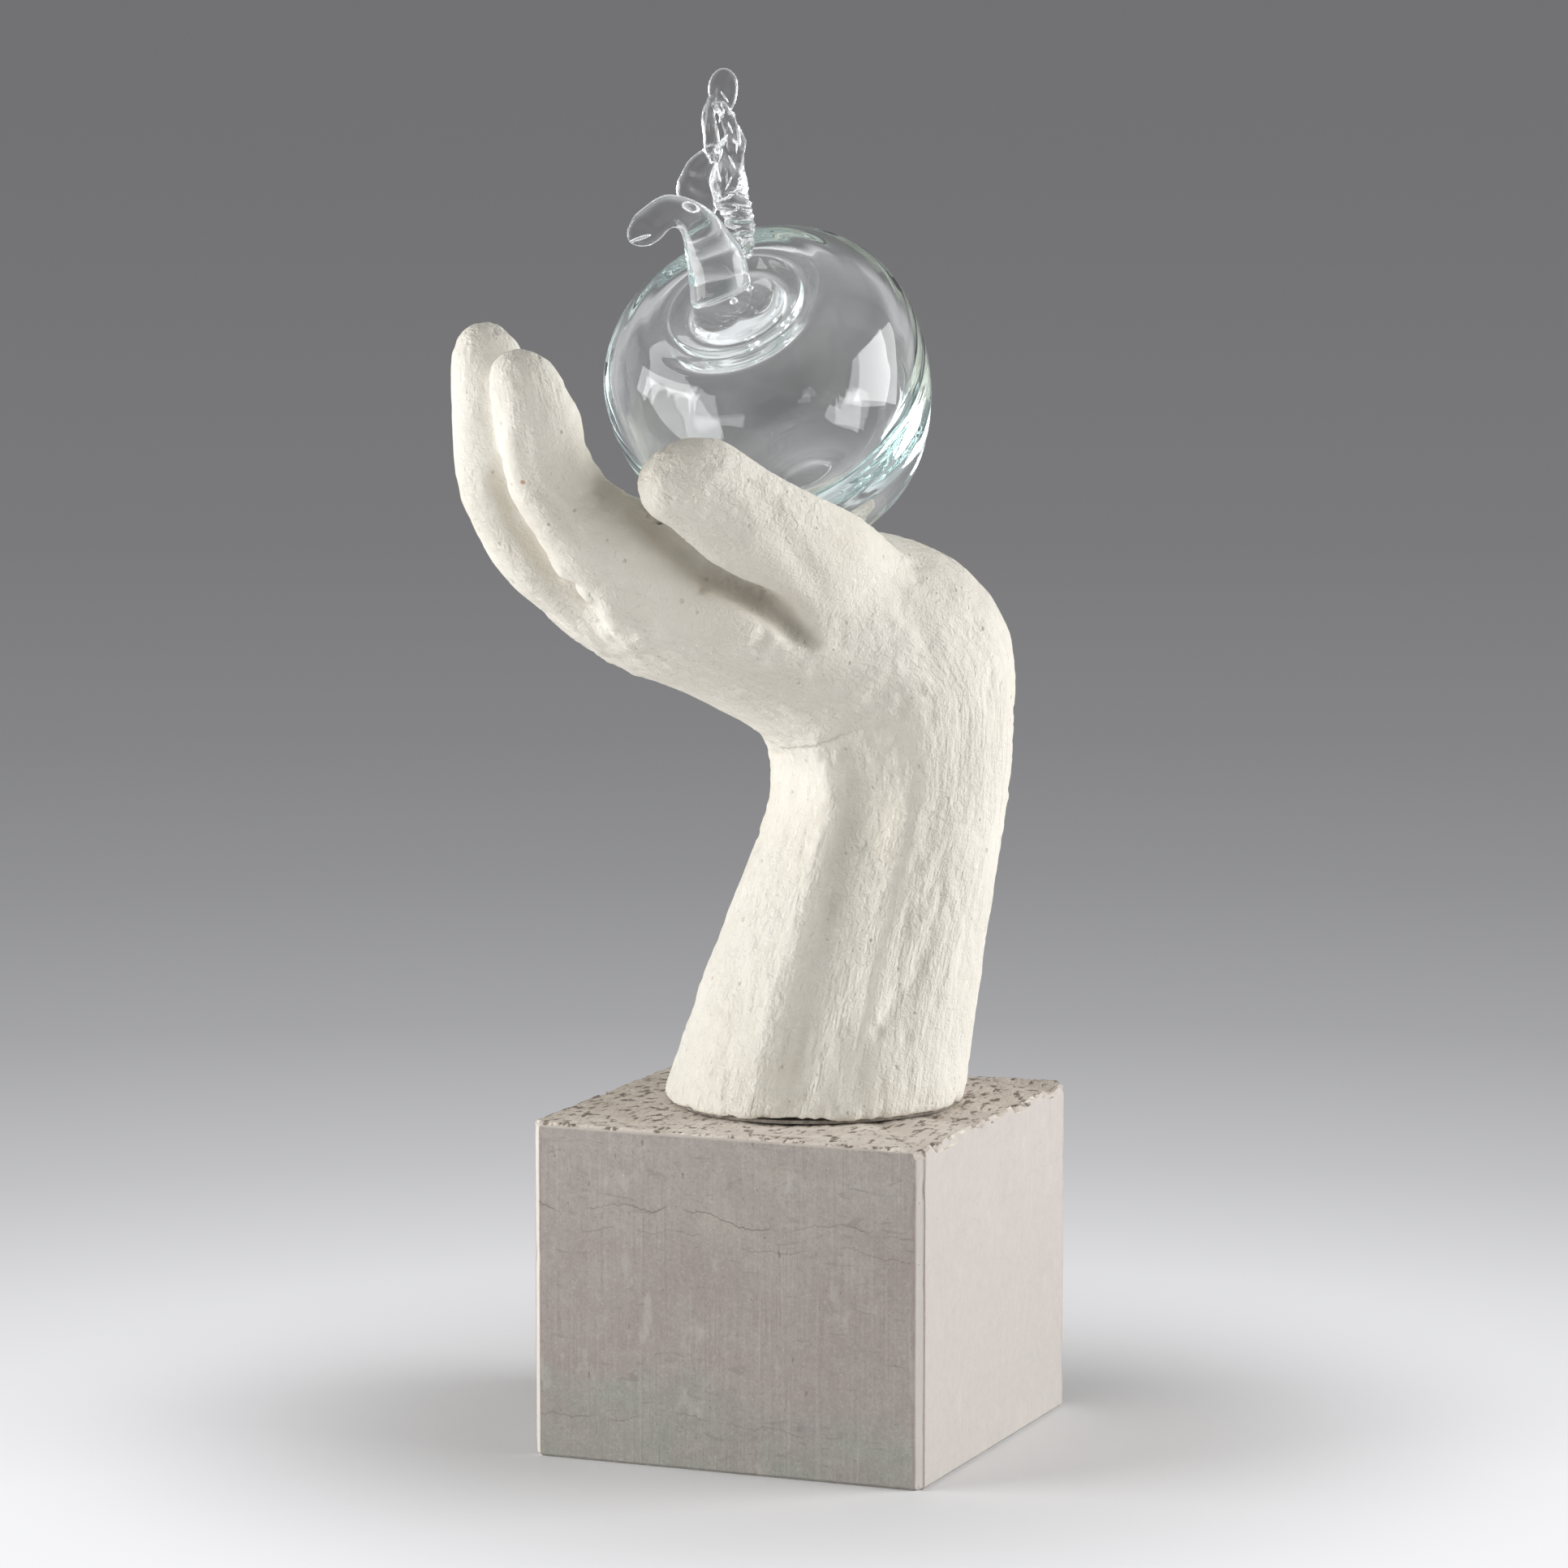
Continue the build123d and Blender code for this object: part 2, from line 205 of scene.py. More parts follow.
# %% [markdown]
# ## The lines that the clay was worked along
# The maker's brush and fingers went along each limb. Every limb gets a line down its middle, and
# each point of the skin learns how far along its own limb it lies and how far off the line. The
# marks can then run along a bent wrist or a curled finger, which no straight pattern can do.
# The lines are in the hand's own directions: forward along the fingers, to the thumb's side, up.

# %% Hand: limbs and their middle lines
hand_forward = np.array((-0.70711, -0.70711, 0))
hand_thumbward = np.array((0.70711, -0.70711, 0))
# thickness and middle line in mm
limb_lines = {
    "arm": (35, [
        (-3.5, -1.9, 84), (-14.2, -1.1, 131), (-24, -0.3, 167), (-25.5, 0, 187), (-23.2, 0, 202),
        (-13.4, 0, 213), (1.2, 0, 219), (22.8, 0, 222), (42.5, 0, 227), (67, 0, 235),
    ]),
    "index": (9.3, [
        (42.5, 25.8, 229), (65, 26.8, 243), (76.3, 27, 254),
        (84.2, 26.8, 269), (87.4, 26.2, 284), (90, 26, 298),
    ]),
    "middle": (9.3, [
        (44.5, 8.6, 227), (64.2, 8.8, 236), (83.8, 9, 252),
        (90, 8.9, 266), (91.5, 8.6, 286), (93.3, 9, 304),
    ]),
    "ring": (9.3, [
        (42.5, -8.6, 227), (61.3, -9, 235), (78.6, -9, 250),
        (84, -9, 263), (85, -8.7, 277), (86, -9, 293),
    ]),
    "little": (8.8, [
        (37, -24.4, 226), (54.2, -26, 232), (69.8, -26.2, 246), (74.1, -25.7, 257), (74.5, -25.2, 274),
    ]),
    "thumb": (12.5, [
        (-25.5, 9, 209), (-9.2, 20.5, 225), (6.4, 29.8, 235),
        (22.9, 36.2, 244), (38, 40, 252.5), (66, 42, 266),
    ]),
}


def rounded_line(points, pieces=8):
    """More points between the given ones, on a smooth curve through them."""
    given = np.array(points, float)
    padded = np.vstack((2 * given[0] - given[1], given, 2 * given[-1] - given[-2]))
    made = []
    for i in range(1, len(padded) - 2):
        a, b, c, d = padded[i - 1:i + 3]
        for t in np.arange(pieces) / pieces:
            made.append(0.5 * (2 * b + (c - a) * t + (2 * a - 5 * b + 4 * c - d) * t ** 2
                               + (3 * b - a - 3 * c + d) * t ** 3))
    return np.array(made + [given[-1]])


print("limbs", {name: len(rounded_line(line)) for name, (thick, line) in limb_lines.items()})

# %% [markdown]
# ## Measuring the skin by its limbs
# Each point takes the limb that is nearest for its thickness. Where two limbs are about as near,
# the marks fade out, so that no seam shows between them. The places of each limb are moved by a
# step more than the last one's, so that two fingers never show the same marks.

# %% Hand: place along a limb
limb_step = 0.31
# how much nearer the nearest limb is than the next, in thicknesses, where marks start and are full
least_lead, full_lead = 0.35, 0.75


def along_lines(points):
    """Place across, through and along the nearest limb, that limb, and how clearly it is nearest."""
    ratios = np.full((len(limb_lines), len(points)), 1e9)
    places = np.zeros((len(limb_lines), len(points), 3))
    for number, (thick, line) in enumerate(limb_lines.values()):
        own = rounded_line(line) * MM
        middle_line = own[:, :1] * hand_forward + own[:, 1:2] * hand_thumbward
        middle_line[:, 2] = own[:, 2]
        before = 0.0
        for start, end in zip(middle_line, middle_line[1:]):
            length = np.linalg.norm(end - start)
            way = (end - start) / length
            share = np.clip((points - start) @ way, 0, length)
            off = points - (start + share[:, None] * way)
            ratio = np.linalg.norm(off, axis=1) / (thick * MM)
            closer = ratio < ratios[number]
            ratios[number, closer] = ratio[closer]
            through = np.cross(way, hand_thumbward)
            values = np.stack((off @ hand_thumbward, off @ through, before + share), 1)
            places[number, closer] = values[closer] + number * limb_step
            before += length
    limb = ratios.argmin(0)
    nearest, second = np.sort(ratios, 0)[:2]
    clear = np.clip((second - nearest - least_lead) / (full_lead - least_lead), 0, 1)
    return places[limb, np.arange(len(points))], limb, clear


points = vectors_of(hand)
grain_place, limb_of_point, clear = along_lines(points)
print("points on each limb", dict(zip(limb_lines, np.bincount(limb_of_point))))

# %% [markdown]
# ## Folds, ridges and hollows
# On a real hand the thumb is parted from the palm by a deep fold, the forefinger has a flat side,
# and two long tendons stand out on the wrist with a hollow between. Each is a short line on the
# skin. The skin along it is pressed in, or pulled out where the depth is negative, with a soft
# edge, which is what a thumb or a modelling tool does to clay.

# %% Hand: the fold under the thumb
# path on the skin in mm, half width, depth: the fold, and the deep hollow at its end, painted darkest
thumb_fold = [
    ([(-26, -69, 256), (-19, -66, 253), (-13, -61, 247), (-7, -55, 239), (1, -50, 233),
      (9, -45, 227), (15, -39, 219)], 8.5, 2.2),
    ([(-19, -66, 253), (-13, -61, 247), (-7, -55, 239), (1, -50, 233), (9, -45, 227),
      (15, -39.5, 219)], 5.5, 1.4),
    ([(-8, -56, 241), (-2, -52, 235), (4, -48.5, 231), (10, -44, 226), (16, -38.5, 218.5)], 4.6, 1.8),
    ([(2, -49.5, 232.5), (7, -46, 228.5), (10, -44, 226), (13, -41, 222), (17, -38, 217.5)], 4.2, 3.4),
    ([(8, -45.5, 227.5), (11, -43, 224.5), (14, -40.5, 221), (17.5, -37.5, 217)], 3.6, 4.2),
]
# at either end a mark keeps this share of its depth; a full fade would take run_out of its length
blunt_end, run_out, reach_of_mark = 0.25, 0.18, 120 * MM


def press(points, normals, path, half_width, depth):
    """Presses the skin in along a path, with a soft edge, fading out at both ends."""
    line = rounded_line(path, 6) * MM
    gaps = np.linalg.norm(points[:, None, :] - line[None, :, :], axis=2)
    nearest = gaps.argmin(1)
    off = gaps[np.arange(len(points)), nearest] / (half_width * MM)
    end = np.minimum(nearest, len(line) - 1 - nearest) / (run_out * len(line))
    fade = np.clip(blunt_end + end, 0, 1)
    share = np.where(off < 1, (1 - off ** 2) ** 2, 0) * fade
    return points - normals * (share * depth * MM)[:, None]


def work(piece, points, marks):
    """Presses marks into a piece one after the other, and tells how far each point moved."""
    moved = np.zeros(len(points))
    for path, half_width, depth in marks:
        near = np.linalg.norm(points - np.mean(path, 0) * MM, axis=1) < reach_of_mark
        before = points[near].copy()
        points[near] = press(before, vectors_of(piece, "normal")[near], path, half_width, depth)
        moved[near] += np.linalg.norm(points[near] - before, axis=1)
        put_points(piece, points)
    print("marks", len(marks), "deepest", round(float(moved.max()) / MM, 2), "mm")
    return moved


# how deep the fold must be pressed for its painted shade to be full; the mask is kept on the mesh
full_shade_depth = 8.6 * MM
fold = np.clip(work(hand, points, thumb_fold) / full_shade_depth, 0, 1)

# %% [markdown]
# ## The marks of fingers and tools
# The other marks are read off the photograph in the same way, from the thumb down to the foot.

# %% Hand: worked marks
worked_marks = [
    # the thumb's broad face and the crease beside it
    ([(8, -64, 262), (12, -59, 257), (15, -56, 251), (17, -52, 245), (20, -45, 236),
      (23, -35, 227)], 5.0, 0.8),
    ([(13, -66, 262), (17, -61, 257), (20, -57, 250), (24, -50, 243), (27, -40, 236)], 7.0, -0.8),
    ([(-1, -74, 258), (3, -68, 249), (6, -62, 243)], 12.0, 1.6),
    # the gap beside the middle finger, the forefinger's flat side and its knuckles
    ([(-49, -88, 282), (-49, -87, 273), (-52, -78, 260), (-48, -73, 248), (-43, -67, 237),
      (-32, -73, 233), (-29, -70, 229), (-31, -61, 223)], 4.0, 1.6),
    ([(-41, -89, 277), (-40, -89, 268), (-39, -87, 261), (-35, -85, 256), (-31, -81, 249),
      (-27, -78, 245)], 3.0, 0.8),
    ([(-34, -87, 272), (-33, -86, 264), (-30, -83, 257), (-26, -80, 250)], 7.5, 1.0),
    ([(-45, -88, 276), (-45, -87, 268), (-44, -85, 261), (-40, -81, 254), (-36, -78, 246)], 3.5, -0.7),
    ([(-42, -72, 240), (-36, -74, 236), (-30, -72, 231), (-26, -67, 225), (-24, -54, 214)], 4.5, -1.2),
    ([(-34, -59, 221), (-31, -56, 218), (-28, -53, 214)], 4.0, -0.8),
    # small wrinkles where the forefinger leaves the palm
    ([(-27, -78, 246), (-24, -75, 250), (-21, -72, 252)], 1.8, 0.5),
    ([(-27, -76, 243), (-21, -72, 247), (-16, -67, 249)], 1.8, 0.5),
    ([(-24, -74, 240), (-18, -69, 240), (-11, -61, 238)], 1.8, 0.6),
    # the forearm: two long tendons with a hollow between, and the planes beside them
    ([(8, -18, 193), (13, -16, 184), (14, -15, 170), (11, -19, 152), (8, -24, 137), (5, -30, 115),
      (1, -36, 92)], 9.0, -1.7),
    ([(27, -14, 188), (25, -15, 178), (23, -16, 164), (20, -20, 146), (17, -25, 129),
      (13, -31, 108), (11, -35, 90)], 14.0, 3.4),
    ([(25, -15, 184), (22, -16, 166), (19, -20, 148), (16, -25, 131), (12, -31, 108),
      (10, -35, 90)], 6.0, 0.5),
    ([(36, -10, 178), (33, -12, 164), (31, -16, 146), (28, -21, 126), (28, -23, 108)], 6.5, -1.3),
    ([(38, -10, 139), (36, -13, 127), (32, -19, 118), (27, -24, 108), (25, -27, 95)], 3.2, 0.9),
    ([(41, -6, 160), (40, -7, 146), (38, -10, 132), (35, -14, 120)], 3.0, 0.6),
    # the wrist's short ridges and dents
    ([(8, -19, 192), (15, -20, 194), (23, -24, 202), (31, -22, 210), (38, -15, 214)], 5.0, -0.6),
    ([(32, -18, 228), (37, -14, 223), (41, -11, 214)], 5.0, 0.8),
    ([(21, -46, 250), (27, -36, 243), (31, -26, 238), (34, -14, 236)], 4.0, -0.6),
    ([(24, -44, 246), (29, -34, 239), (33, -24, 233)], 2.4, 0.7),
    ([(-6, -3, 186), (-6, -2, 183), (-5, -3, 180)], 9.0, 1.0),
    # crumbs of clay along the foot
    ([(12.0, -34.6, 92.0), (13.6, -34.2, 92.0)], 1.8, -1.3),
    ([(16.2, -33.1, 92.0), (17.6, -32.6, 92.2)], 2.2, -1.5),
    ([(21.0, -30.5, 92.0), (22.4, -30, 92.2)], 1.9, -1.4),
    ([(24.0, -28.2, 92.4), (25.6, -27.2, 92.6)], 2.3, -1.6),
]
work(hand, points, worked_marks)
modify(hand, "SMOOTH", factor=0.5, iterations=3)

# %% [markdown]
# ## The skin of the clay
# Brushed slip left soft ridges that run along the limbs, wider on the forearm and finer on the
# fingers. They are noise that is stretched along the limb lines, moved into the mesh, so they
# are real relief and not only shading. Sharp crests come from noise folded at its zero. A scale is
# how many waves there are in a metre across, through and along.


# %% Hand: brushed relief
def noise_at(places, scale, seed):
    """Smooth noise between about -1 and 1 for each place, after scaling its axes."""
    scaled = places * np.array(scale) + seed
    return np.array([noise.noise(Vector(place)) for place in scaled])


points = vectors_of(hand)
on_arm = (limb_of_point == 0).astype(float)
patchy = np.clip(0.6 + noise_at(points, (40,) * 3, 6.4), 0.15, 1.2)
crests = (1 - 2.4 * np.abs(noise_at(grain_place, (250, 250, 75), 12.3))) * clear
knobs = (1 - 2.2 * np.abs(noise_at(grain_place, (300, 300, 130), 15.0))) * clear
short_marks = noise_at(grain_place, (430, 430, 190), 2.3) * clear
# pattern, its height in mm, and how much higher it is on the forearm; the last is short dents
brushed_layers = [
    (noise_at(points, (55,) * 3, 3.1), 0.35, 0.0),
    (noise_at(grain_place, (190, 190, 45), 7.7) * clear, 0.30, 0.14),
    (patchy * crests, 0.20, 0.03),
    (patchy * short_marks, 0.26, 0.02),
    (patchy * noise_at(points, (330,) * 3, 8.8), 0.34, 0.02),
    (patchy * knobs, 0.22, 0.06),
    (-np.clip(noise_at(points, (170,) * 3, 21.5) - 0.40, 0, 1), 0.8, 1.4),
]
relief = sum(pattern * (depth + more * on_arm) for pattern, depth, more in brushed_layers)
print("relief in mm", round(float(relief.min()), 2), "to", round(float(relief.max()), 2))

# %% [markdown]
# ## Keeping the skin in its box
# The relief may not reach past the CAD model's box, nor below the bedding that the foot stands on.
# The places along the limbs are kept on the mesh as attributes, so that the material can read them.

# %% Hand: relief into the mesh
foot_height, margin = 90.8 * MM, 0.05 * MM
points = points + vectors_of(hand, "normal") * (relief * MM)[:, None]
points = np.clip(points, np.array(cad_box[0]) + margin, np.array(cad_box[1]) - margin)
points[:, 2] = np.maximum(points[:, 2], foot_height)
put_points(hand, points)
for name, kind, field, values in (
    ("grain", "FLOAT_VECTOR", "vector", grain_place.ravel()),
    ("clear", "FLOAT", "value", clear),
    ("fold", "FLOAT", "value", fold),
):
    hand.data.attributes.new(name, kind, "POINT").data.foreach_set(field, values)
for face in hand.data.polygons:
    face.use_smooth = True
tell(hand)

# %% [markdown]
# ## Wiring materials
# A material is a tree of small nodes. The helper places one node, sets its options and feeds its
# sockets, either with a plain value or with what another node puts out.


# %% Helpers: placing nodes
def feed(tree, socket, value):
    """Gives a socket a plain value, or what another node puts out."""
    if isinstance(value, bpy.types.NodeSocket):
        tree.links.new(value, socket)
    elif value is not None:
        socket.default_value = value


def place(tree, kind, options=None, feeds=(), **sockets):
    """Adds one node: options are its settings, feeds go to sockets in order, the rest by name."""
    made = tree.nodes.new("ShaderNode" + kind)
    for name, value in (options or {}).items():
        setattr(made, name, value)
    pairs = list(zip(made.inputs, feeds))
    pairs += [(made.inputs[name.replace("_", " ")], value) for name, value in sockets.items()]
    for socket, value in pairs:
        feed(tree, socket, value)
    return made


def new_material(name, **shader_values):
    """A material with one Principled shader, and its tree."""
    material = bpy.data.materials.new(name)
    material.use_nodes = True
    shader = material.node_tree.nodes["Principled BSDF"]
    for socket, value in shader_values.items():
        shader.inputs[socket.replace("_", " ")].default_value = value
    return material, material.node_tree, shader


def place_on(tree):
    return place(tree, "TexCoord").outputs["Object"]


# %% [markdown]
# ## Sums, colours and heights
# Most nodes do one of a few things: a sum, a soft step, a mix of two colours, noise, or noise on a
# vector whose axes are stretched, so that the pattern runs long or fine. A finish is built up as
# paint is: a base colour, and then thin coats of other colours where a mask is.


# %% Helpers: patterns and paint
def sums(tree, operation, *feeds, clamp=False):
    return place(tree, "Math", {"operation": operation, "use_clamp": clamp}, feeds).outputs[0]


def vectors(tree, operation, *feeds):
    return place(tree, "VectorMath", {"operation": operation}, feeds).outputs


def ease(tree, value, low, high, to_low=0.0, to_high=1.0):
    """Maps a value smoothly from one range to another."""
    settings = {"interpolation_type": "SMOOTHSTEP"}
    return place(tree, "MapRange", settings, (value, low, high, to_low, to_high)).outputs["Result"]


def stretched(tree, vector, scale):
    return place(tree, "Mapping", Vector=vector, Scale=scale).outputs[0]


def cloud(tree, vector, scale=1.0, **settings):
    return place(tree, "TexNoise", Vector=vector, Scale=scale, **settings).outputs["Fac"]


def facing(tree, axis):
    """How far the surface faces along an axis."""
    normal = place(tree, "NewGeometry").outputs["Normal"]
    return place(tree, "SeparateXYZ", Vector=normal).outputs[axis]


def tint(tree, share, first, second):
    """Mixes two colours by a share."""
    mix = place(tree, "Mix", {"data_type": "RGBA"}, (share,))
    for socket, colour in ((mix.inputs[6], first), (mix.inputs[7], second)):
        feed(tree, socket, (*colour, 1) if isinstance(colour, tuple) else colour)
    return mix.outputs[2]


def coat(tree, colour, mask, strength, paint):
    """Lays paint over a colour where a mask is."""
    return tint(tree, sums(tree, "MULTIPLY", mask, strength), colour, paint)


def piled(tree, height, *layers):
    """Adds layers to a height, each a pattern and how much of it."""
    for pattern, share in layers:
        height = sums(tree, "MULTIPLY_ADD", pattern, share, height)
    return height


def emboss(tree, shader, height, strength, distance):
    """Shades a height as relief."""
    bump = place(tree, "Bump", Strength=strength, Distance=distance, Height=height)
    tree.links.new(bump.outputs[0], shader.inputs["Normal"])


# %% [markdown]
# ## Effects that several materials share
# Fired clay and sawn stone both show small pits and specks and a slow drift of tone. Each effect is
# a node group made once. Pits and specks are cells of a Voronoi pattern: each cell has a random
# number, and only the cells whose number is under the share get a dot.


# %% Node group: dots
def new_group(name, inputs, output):
    """A node group with named inputs of a kind and a start value, and one output."""
    group = bpy.data.node_groups.new(name, "ShaderNodeTree")
    for socket, kind, value in inputs:
        made = group.interface.new_socket(name=socket, in_out="INPUT", socket_type=kind)
        if value is not None:
            made.default_value = value
    group.interface.new_socket(name=output, in_out="OUTPUT", socket_type="NodeSocketFloat")
    return group, group.nodes.new("NodeGroupInput").outputs, group.nodes.new("NodeGroupOutput").inputs


dots, take, give = new_group("dots", [
    ("Vector", "NodeSocketVector", None), ("Scale", "NodeSocketFloat", 200.0),
    ("Share", "NodeSocketFloat", 0.3), ("Size", "NodeSocketFloat", 0.2),
], "Mask")
ragged = place(dots, "TexNoise", Vector=take["Vector"], Scale=900.0, Detail=2.0).outputs["Color"]
shifted = vectors(dots, "MULTIPLY_ADD", ragged, (0.7 * MM,) * 3, take["Vector"])[0]
cells = place(dots, "TexVoronoi", Vector=shifted, Scale=take["Scale"]).outputs
chance = place(dots, "SeparateColor", Color=cells["Color"]).outputs
chosen = sums(dots, "LESS_THAN", chance[0], take["Share"])
reach = sums(dots, "MULTIPLY", take["Size"], sums(dots, "ADD", 0.35, chance[1]))
inside = sums(dots, "SUBTRACT", reach, cells["Distance"])
soft = sums(dots, "DIVIDE", inside, sums(dots, "MULTIPLY", reach, 0.5), clamp=True)
dots.links.new(sums(dots, "MULTIPLY", soft, chosen), give["Mask"])


def dotted(tree, vector, scale, share, size):
    settings = {"node_tree": dots}
    return place(tree, "Group", settings, Vector=vector, Scale=scale, Share=share, Size=size).outputs[0]


print("group", dots.name)

# %% [markdown]
# ## A slow drift of tone
# Noise mostly lies near its middle value. The group stretches the part between two limits to the
# full range, so that light and dark areas are clearly apart.

# %% Node group: drift of tone
drift, take, give = new_group("drift", [
    ("Vector", "NodeSocketVector", None), ("Scale", "NodeSocketFloat", 20.0),
    ("Low", "NodeSocketFloat", 0.35), ("High", "NodeSocketFloat", 0.65),
], "Value")
drifts = cloud(drift, take["Vector"], take["Scale"], Detail=5.0, Roughness=0.6)
level = sums(drift, "SUBTRACT", drifts, take["Low"])
width = sums(drift, "SUBTRACT", take["High"], take["Low"])
drift.links.new(sums(drift, "DIVIDE", level, width, clamp=True), give["Value"])


def drifting(tree, vector, scale, low=0.35, high=0.65):
    settings = {"node_tree": drift}
    return place(tree, "Group", settings, Vector=vector, Scale=scale, Low=low, High=high).outputs[0]


print("group", drift.name)

# %% [markdown]
# ## White ceramic
# Unglazed porcelain-white clay is matte, a little creamy and chalkier on the ridges, with pinholes,
# a few rust-coloured specks and the fine hair lines of the brush. The fold under the thumb is given
# a painted shade of dark brown, darkest where the fold was pressed deepest.

# %% White ceramic: colour
warm_white, bright_white = (0.780, 0.735, 0.645), (0.850, 0.820, 0.745)
brushed_white, pinhole_brown = (0.870, 0.845, 0.780), (0.46, 0.41, 0.33)
# the last colour is the dark brown of the painted shade in the fold under the thumb
rust, fold_shade_brown = (0.52, 0.25, 0.12), (0.215, 0.180, 0.125)
bisque, tree, shader = new_material("bisque", Roughness=0.82, IOR=1.5, Specular_IOR_Level=0.3)
here = place_on(tree)
lines = place(tree, "Attribute", {"attribute_name": "grain"}).outputs["Vector"]
along = place(tree, "Attribute", {"attribute_name": "clear"}).outputs["Fac"]
folded = place(tree, "Attribute", {"attribute_name": "fold"}).outputs["Fac"]
streaked = sums(tree, "MULTIPLY", drifting(tree, stretched(tree, lines, (420, 420, 50)), 1.0), along)
pinholes = dotted(tree, here, 330.0, 0.22, 0.20)
colour = tint(tree, drifting(tree, here, 26.0, 0.34, 0.66), warm_white, bright_white)
colour = coat(tree, colour, streaked, 0.30, brushed_white)
colour = coat(tree, colour, pinholes, 0.35, pinhole_brown)
colour = coat(tree, colour, dotted(tree, here, 95.0, 0.10, 0.07), 0.80, rust)
# painted shade in the fold under the thumb: a little patchy, and darkest where the fold is deepest
fold_shade = piled(tree, 0.7, (drifting(tree, here, 140.0, 0.25, 0.60), 0.3))
fold_shade = sums(tree, "MULTIPLY", ease(tree, folded, 0.15, 0.95, 0.0, 0.95), fold_shade)
tree.links.new(tint(tree, fold_shade, colour, fold_shade_brown), shader.inputs["Base Color"])
print("material", bisque.name)

# %% [markdown]
# ## The brush's hair lines
# The finest relief is too small for the mesh, so it is shaded: hair lines and ridges along the
# limbs, and scuffs and dust that run every way.

# %% White ceramic: relief
hair = cloud(tree, stretched(tree, lines, (1300, 1300, 150)), Detail=3.0)
ridge = cloud(tree, stretched(tree, lines, (480, 480, 120)), Detail=4.0)
scuff = cloud(tree, here, 430.0, Detail=5.0, Roughness=0.62, Distortion=0.6)
dust = cloud(tree, here, 1600.0, Detail=3.0)
patchy_hair = sums(tree, "MULTIPLY", hair, drifting(tree, here, 45.0, 0.40, 0.62))
scuffed = piled(tree, 0.45, (drifting(tree, here, 38.0, 0.38, 0.60), 0.60))
height = sums(tree, "MULTIPLY", piled(tree, 0.0, (patchy_hair, 0.50), (ridge, 0.80)), along)
height = piled(tree, height, (scuff, scuffed), (dust, 0.30), (pinholes, -0.30))
emboss(tree, shader, height, 1.0, 0.9 * MM)
hand.data.materials.append(bisque)
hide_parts("ceramic_hand")
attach(hand, "sculpture")
print("relief on", hand.name)

# %% [markdown]
# ## The glass apple: blown body
# A blown apple is a hollow body of revolution with a dimple at each end. Half of its outline is
# drawn once, outside and inside, and spun about the apple's own axis. The puddle of hot glass
# that carries the stem and the scar of the rod at the bottom belong to the same outline, because
# they are melted on and there is no air between.

# %% Apple: outlines
apple_middle = Vector((-5.52, -8.34, 279.8)) * MM
apple_axis = Vector((-0.0588, -0.6587, 0.7501)).normalized()
apple_radius = 42.5 * MM
hollow_shift = -0.9 * MM
# distance from the axis and height, as shares of the radius
outside_line = [
    (0.000, 0.790), (0.070, 0.792), (0.150, 0.792), (0.225, 0.783), (0.272, 0.762), (0.292, 0.736),
    (0.315, 0.720), (0.345, 0.722), (0.385, 0.746), (0.415, 0.765), (0.440, 0.760), (0.475, 0.764),
    (0.520, 0.781), (0.588, 0.787), (0.680, 0.754),
    (0.767, 0.693), (0.850, 0.615), (0.913, 0.527), (0.960, 0.425), (0.985, 0.315), (0.996, 0.205),
    (0.998, 0.094), (0.993, -0.012), (0.979, -0.118), (0.959, -0.215), (0.934, -0.309), (0.860, -0.500),
    (0.752, -0.684), (0.604, -0.828), (0.505, -0.886), (0.420, -0.920), (0.330, -0.936), (0.259, -0.934),
    (0.205, -0.926), (0.170, -0.924), (0.140, -0.936), (0.080, -0.940), (0.000, -0.941),
]
inside_line = [
    (0.000, 0.580), (0.105, 0.592), (0.210, 0.600), (0.302, 0.616), (0.380, 0.640), (0.448, 0.668),
    (0.520, 0.694), (0.580, 0.694), (0.650, 0.664), (0.708, 0.622), (0.775, 0.560), (0.831, 0.485),
    (0.870, 0.398), (0.894, 0.297), (0.905, 0.200), (0.905, 0.095), (0.892, -0.002), (0.864, -0.099),
    (0.791, -0.264), (0.700, -0.425), (0.606, -0.572), (0.497, -0.678), (0.364, -0.745), (0.264, -0.753),
    (0.181, -0.734), (0.090, -0.706), (0.000, -0.697),
]
print("outline points", len(outside_line), "outside,", len(inside_line), "inside")

# %% [markdown]
# ## Spinning the two shells
# The spin operator turns an outline about an axis, as a lathe does. The hollow is a shell too, a
# little off the middle, as in blown glass, and inside out, because its air is outside the glass.


# %% Apple: two shells
def spun(name, line, steps=144):
    """Spins half an outline about the upright axis into a closed shell of quads."""
    shares = rounded_line([(r, 0, h) for r, h in line], 4)
    bpy.ops.mesh.primitive_circle_add(vertices=3, radius=apple_radius, location=(0, 0, 0))
    piece = bpy.context.object
    piece.name = name
    outline = bmesh.new()
    made = [outline.verts.new(Vector(share) * apple_radius) for share in shares]
    made[0].co.x = made[-1].co.x = 0
    for a, b in zip(made, made[1:]):
        outline.edges.new((a, b))
    outline.to_mesh(piece.data)
    outline.free()
    with editing(piece):
        bpy.ops.mesh.spin(steps=steps, angle=2 * math.pi, center=(0, 0, 0), axis=(0, 0, 1))
        bpy.ops.mesh.select_all(action="SELECT")
        bpy.ops.mesh.remove_doubles(threshold=0.01 * MM)
        bpy.ops.mesh.normals_make_consistent(inside=False)
    tell(piece)
    return piece


def settle(piece):
    """Leaves the piece's place in its mesh and its object at the origin."""
    only(piece)
    bpy.ops.object.transform_apply(location=True, rotation=True, scale=True)


def turn_inside_out(piece):
    with editing(piece):
        bpy.ops.mesh.flip_normals()


apple_skin = spun("apple_glass", outside_line)
apple_hollow = spun("apple_hollow", inside_line)
only(apple_hollow)
bpy.ops.transform.translate(value=(hollow_shift, 0, 0))
settle(apple_hollow)
turn_inside_out(apple_hollow)

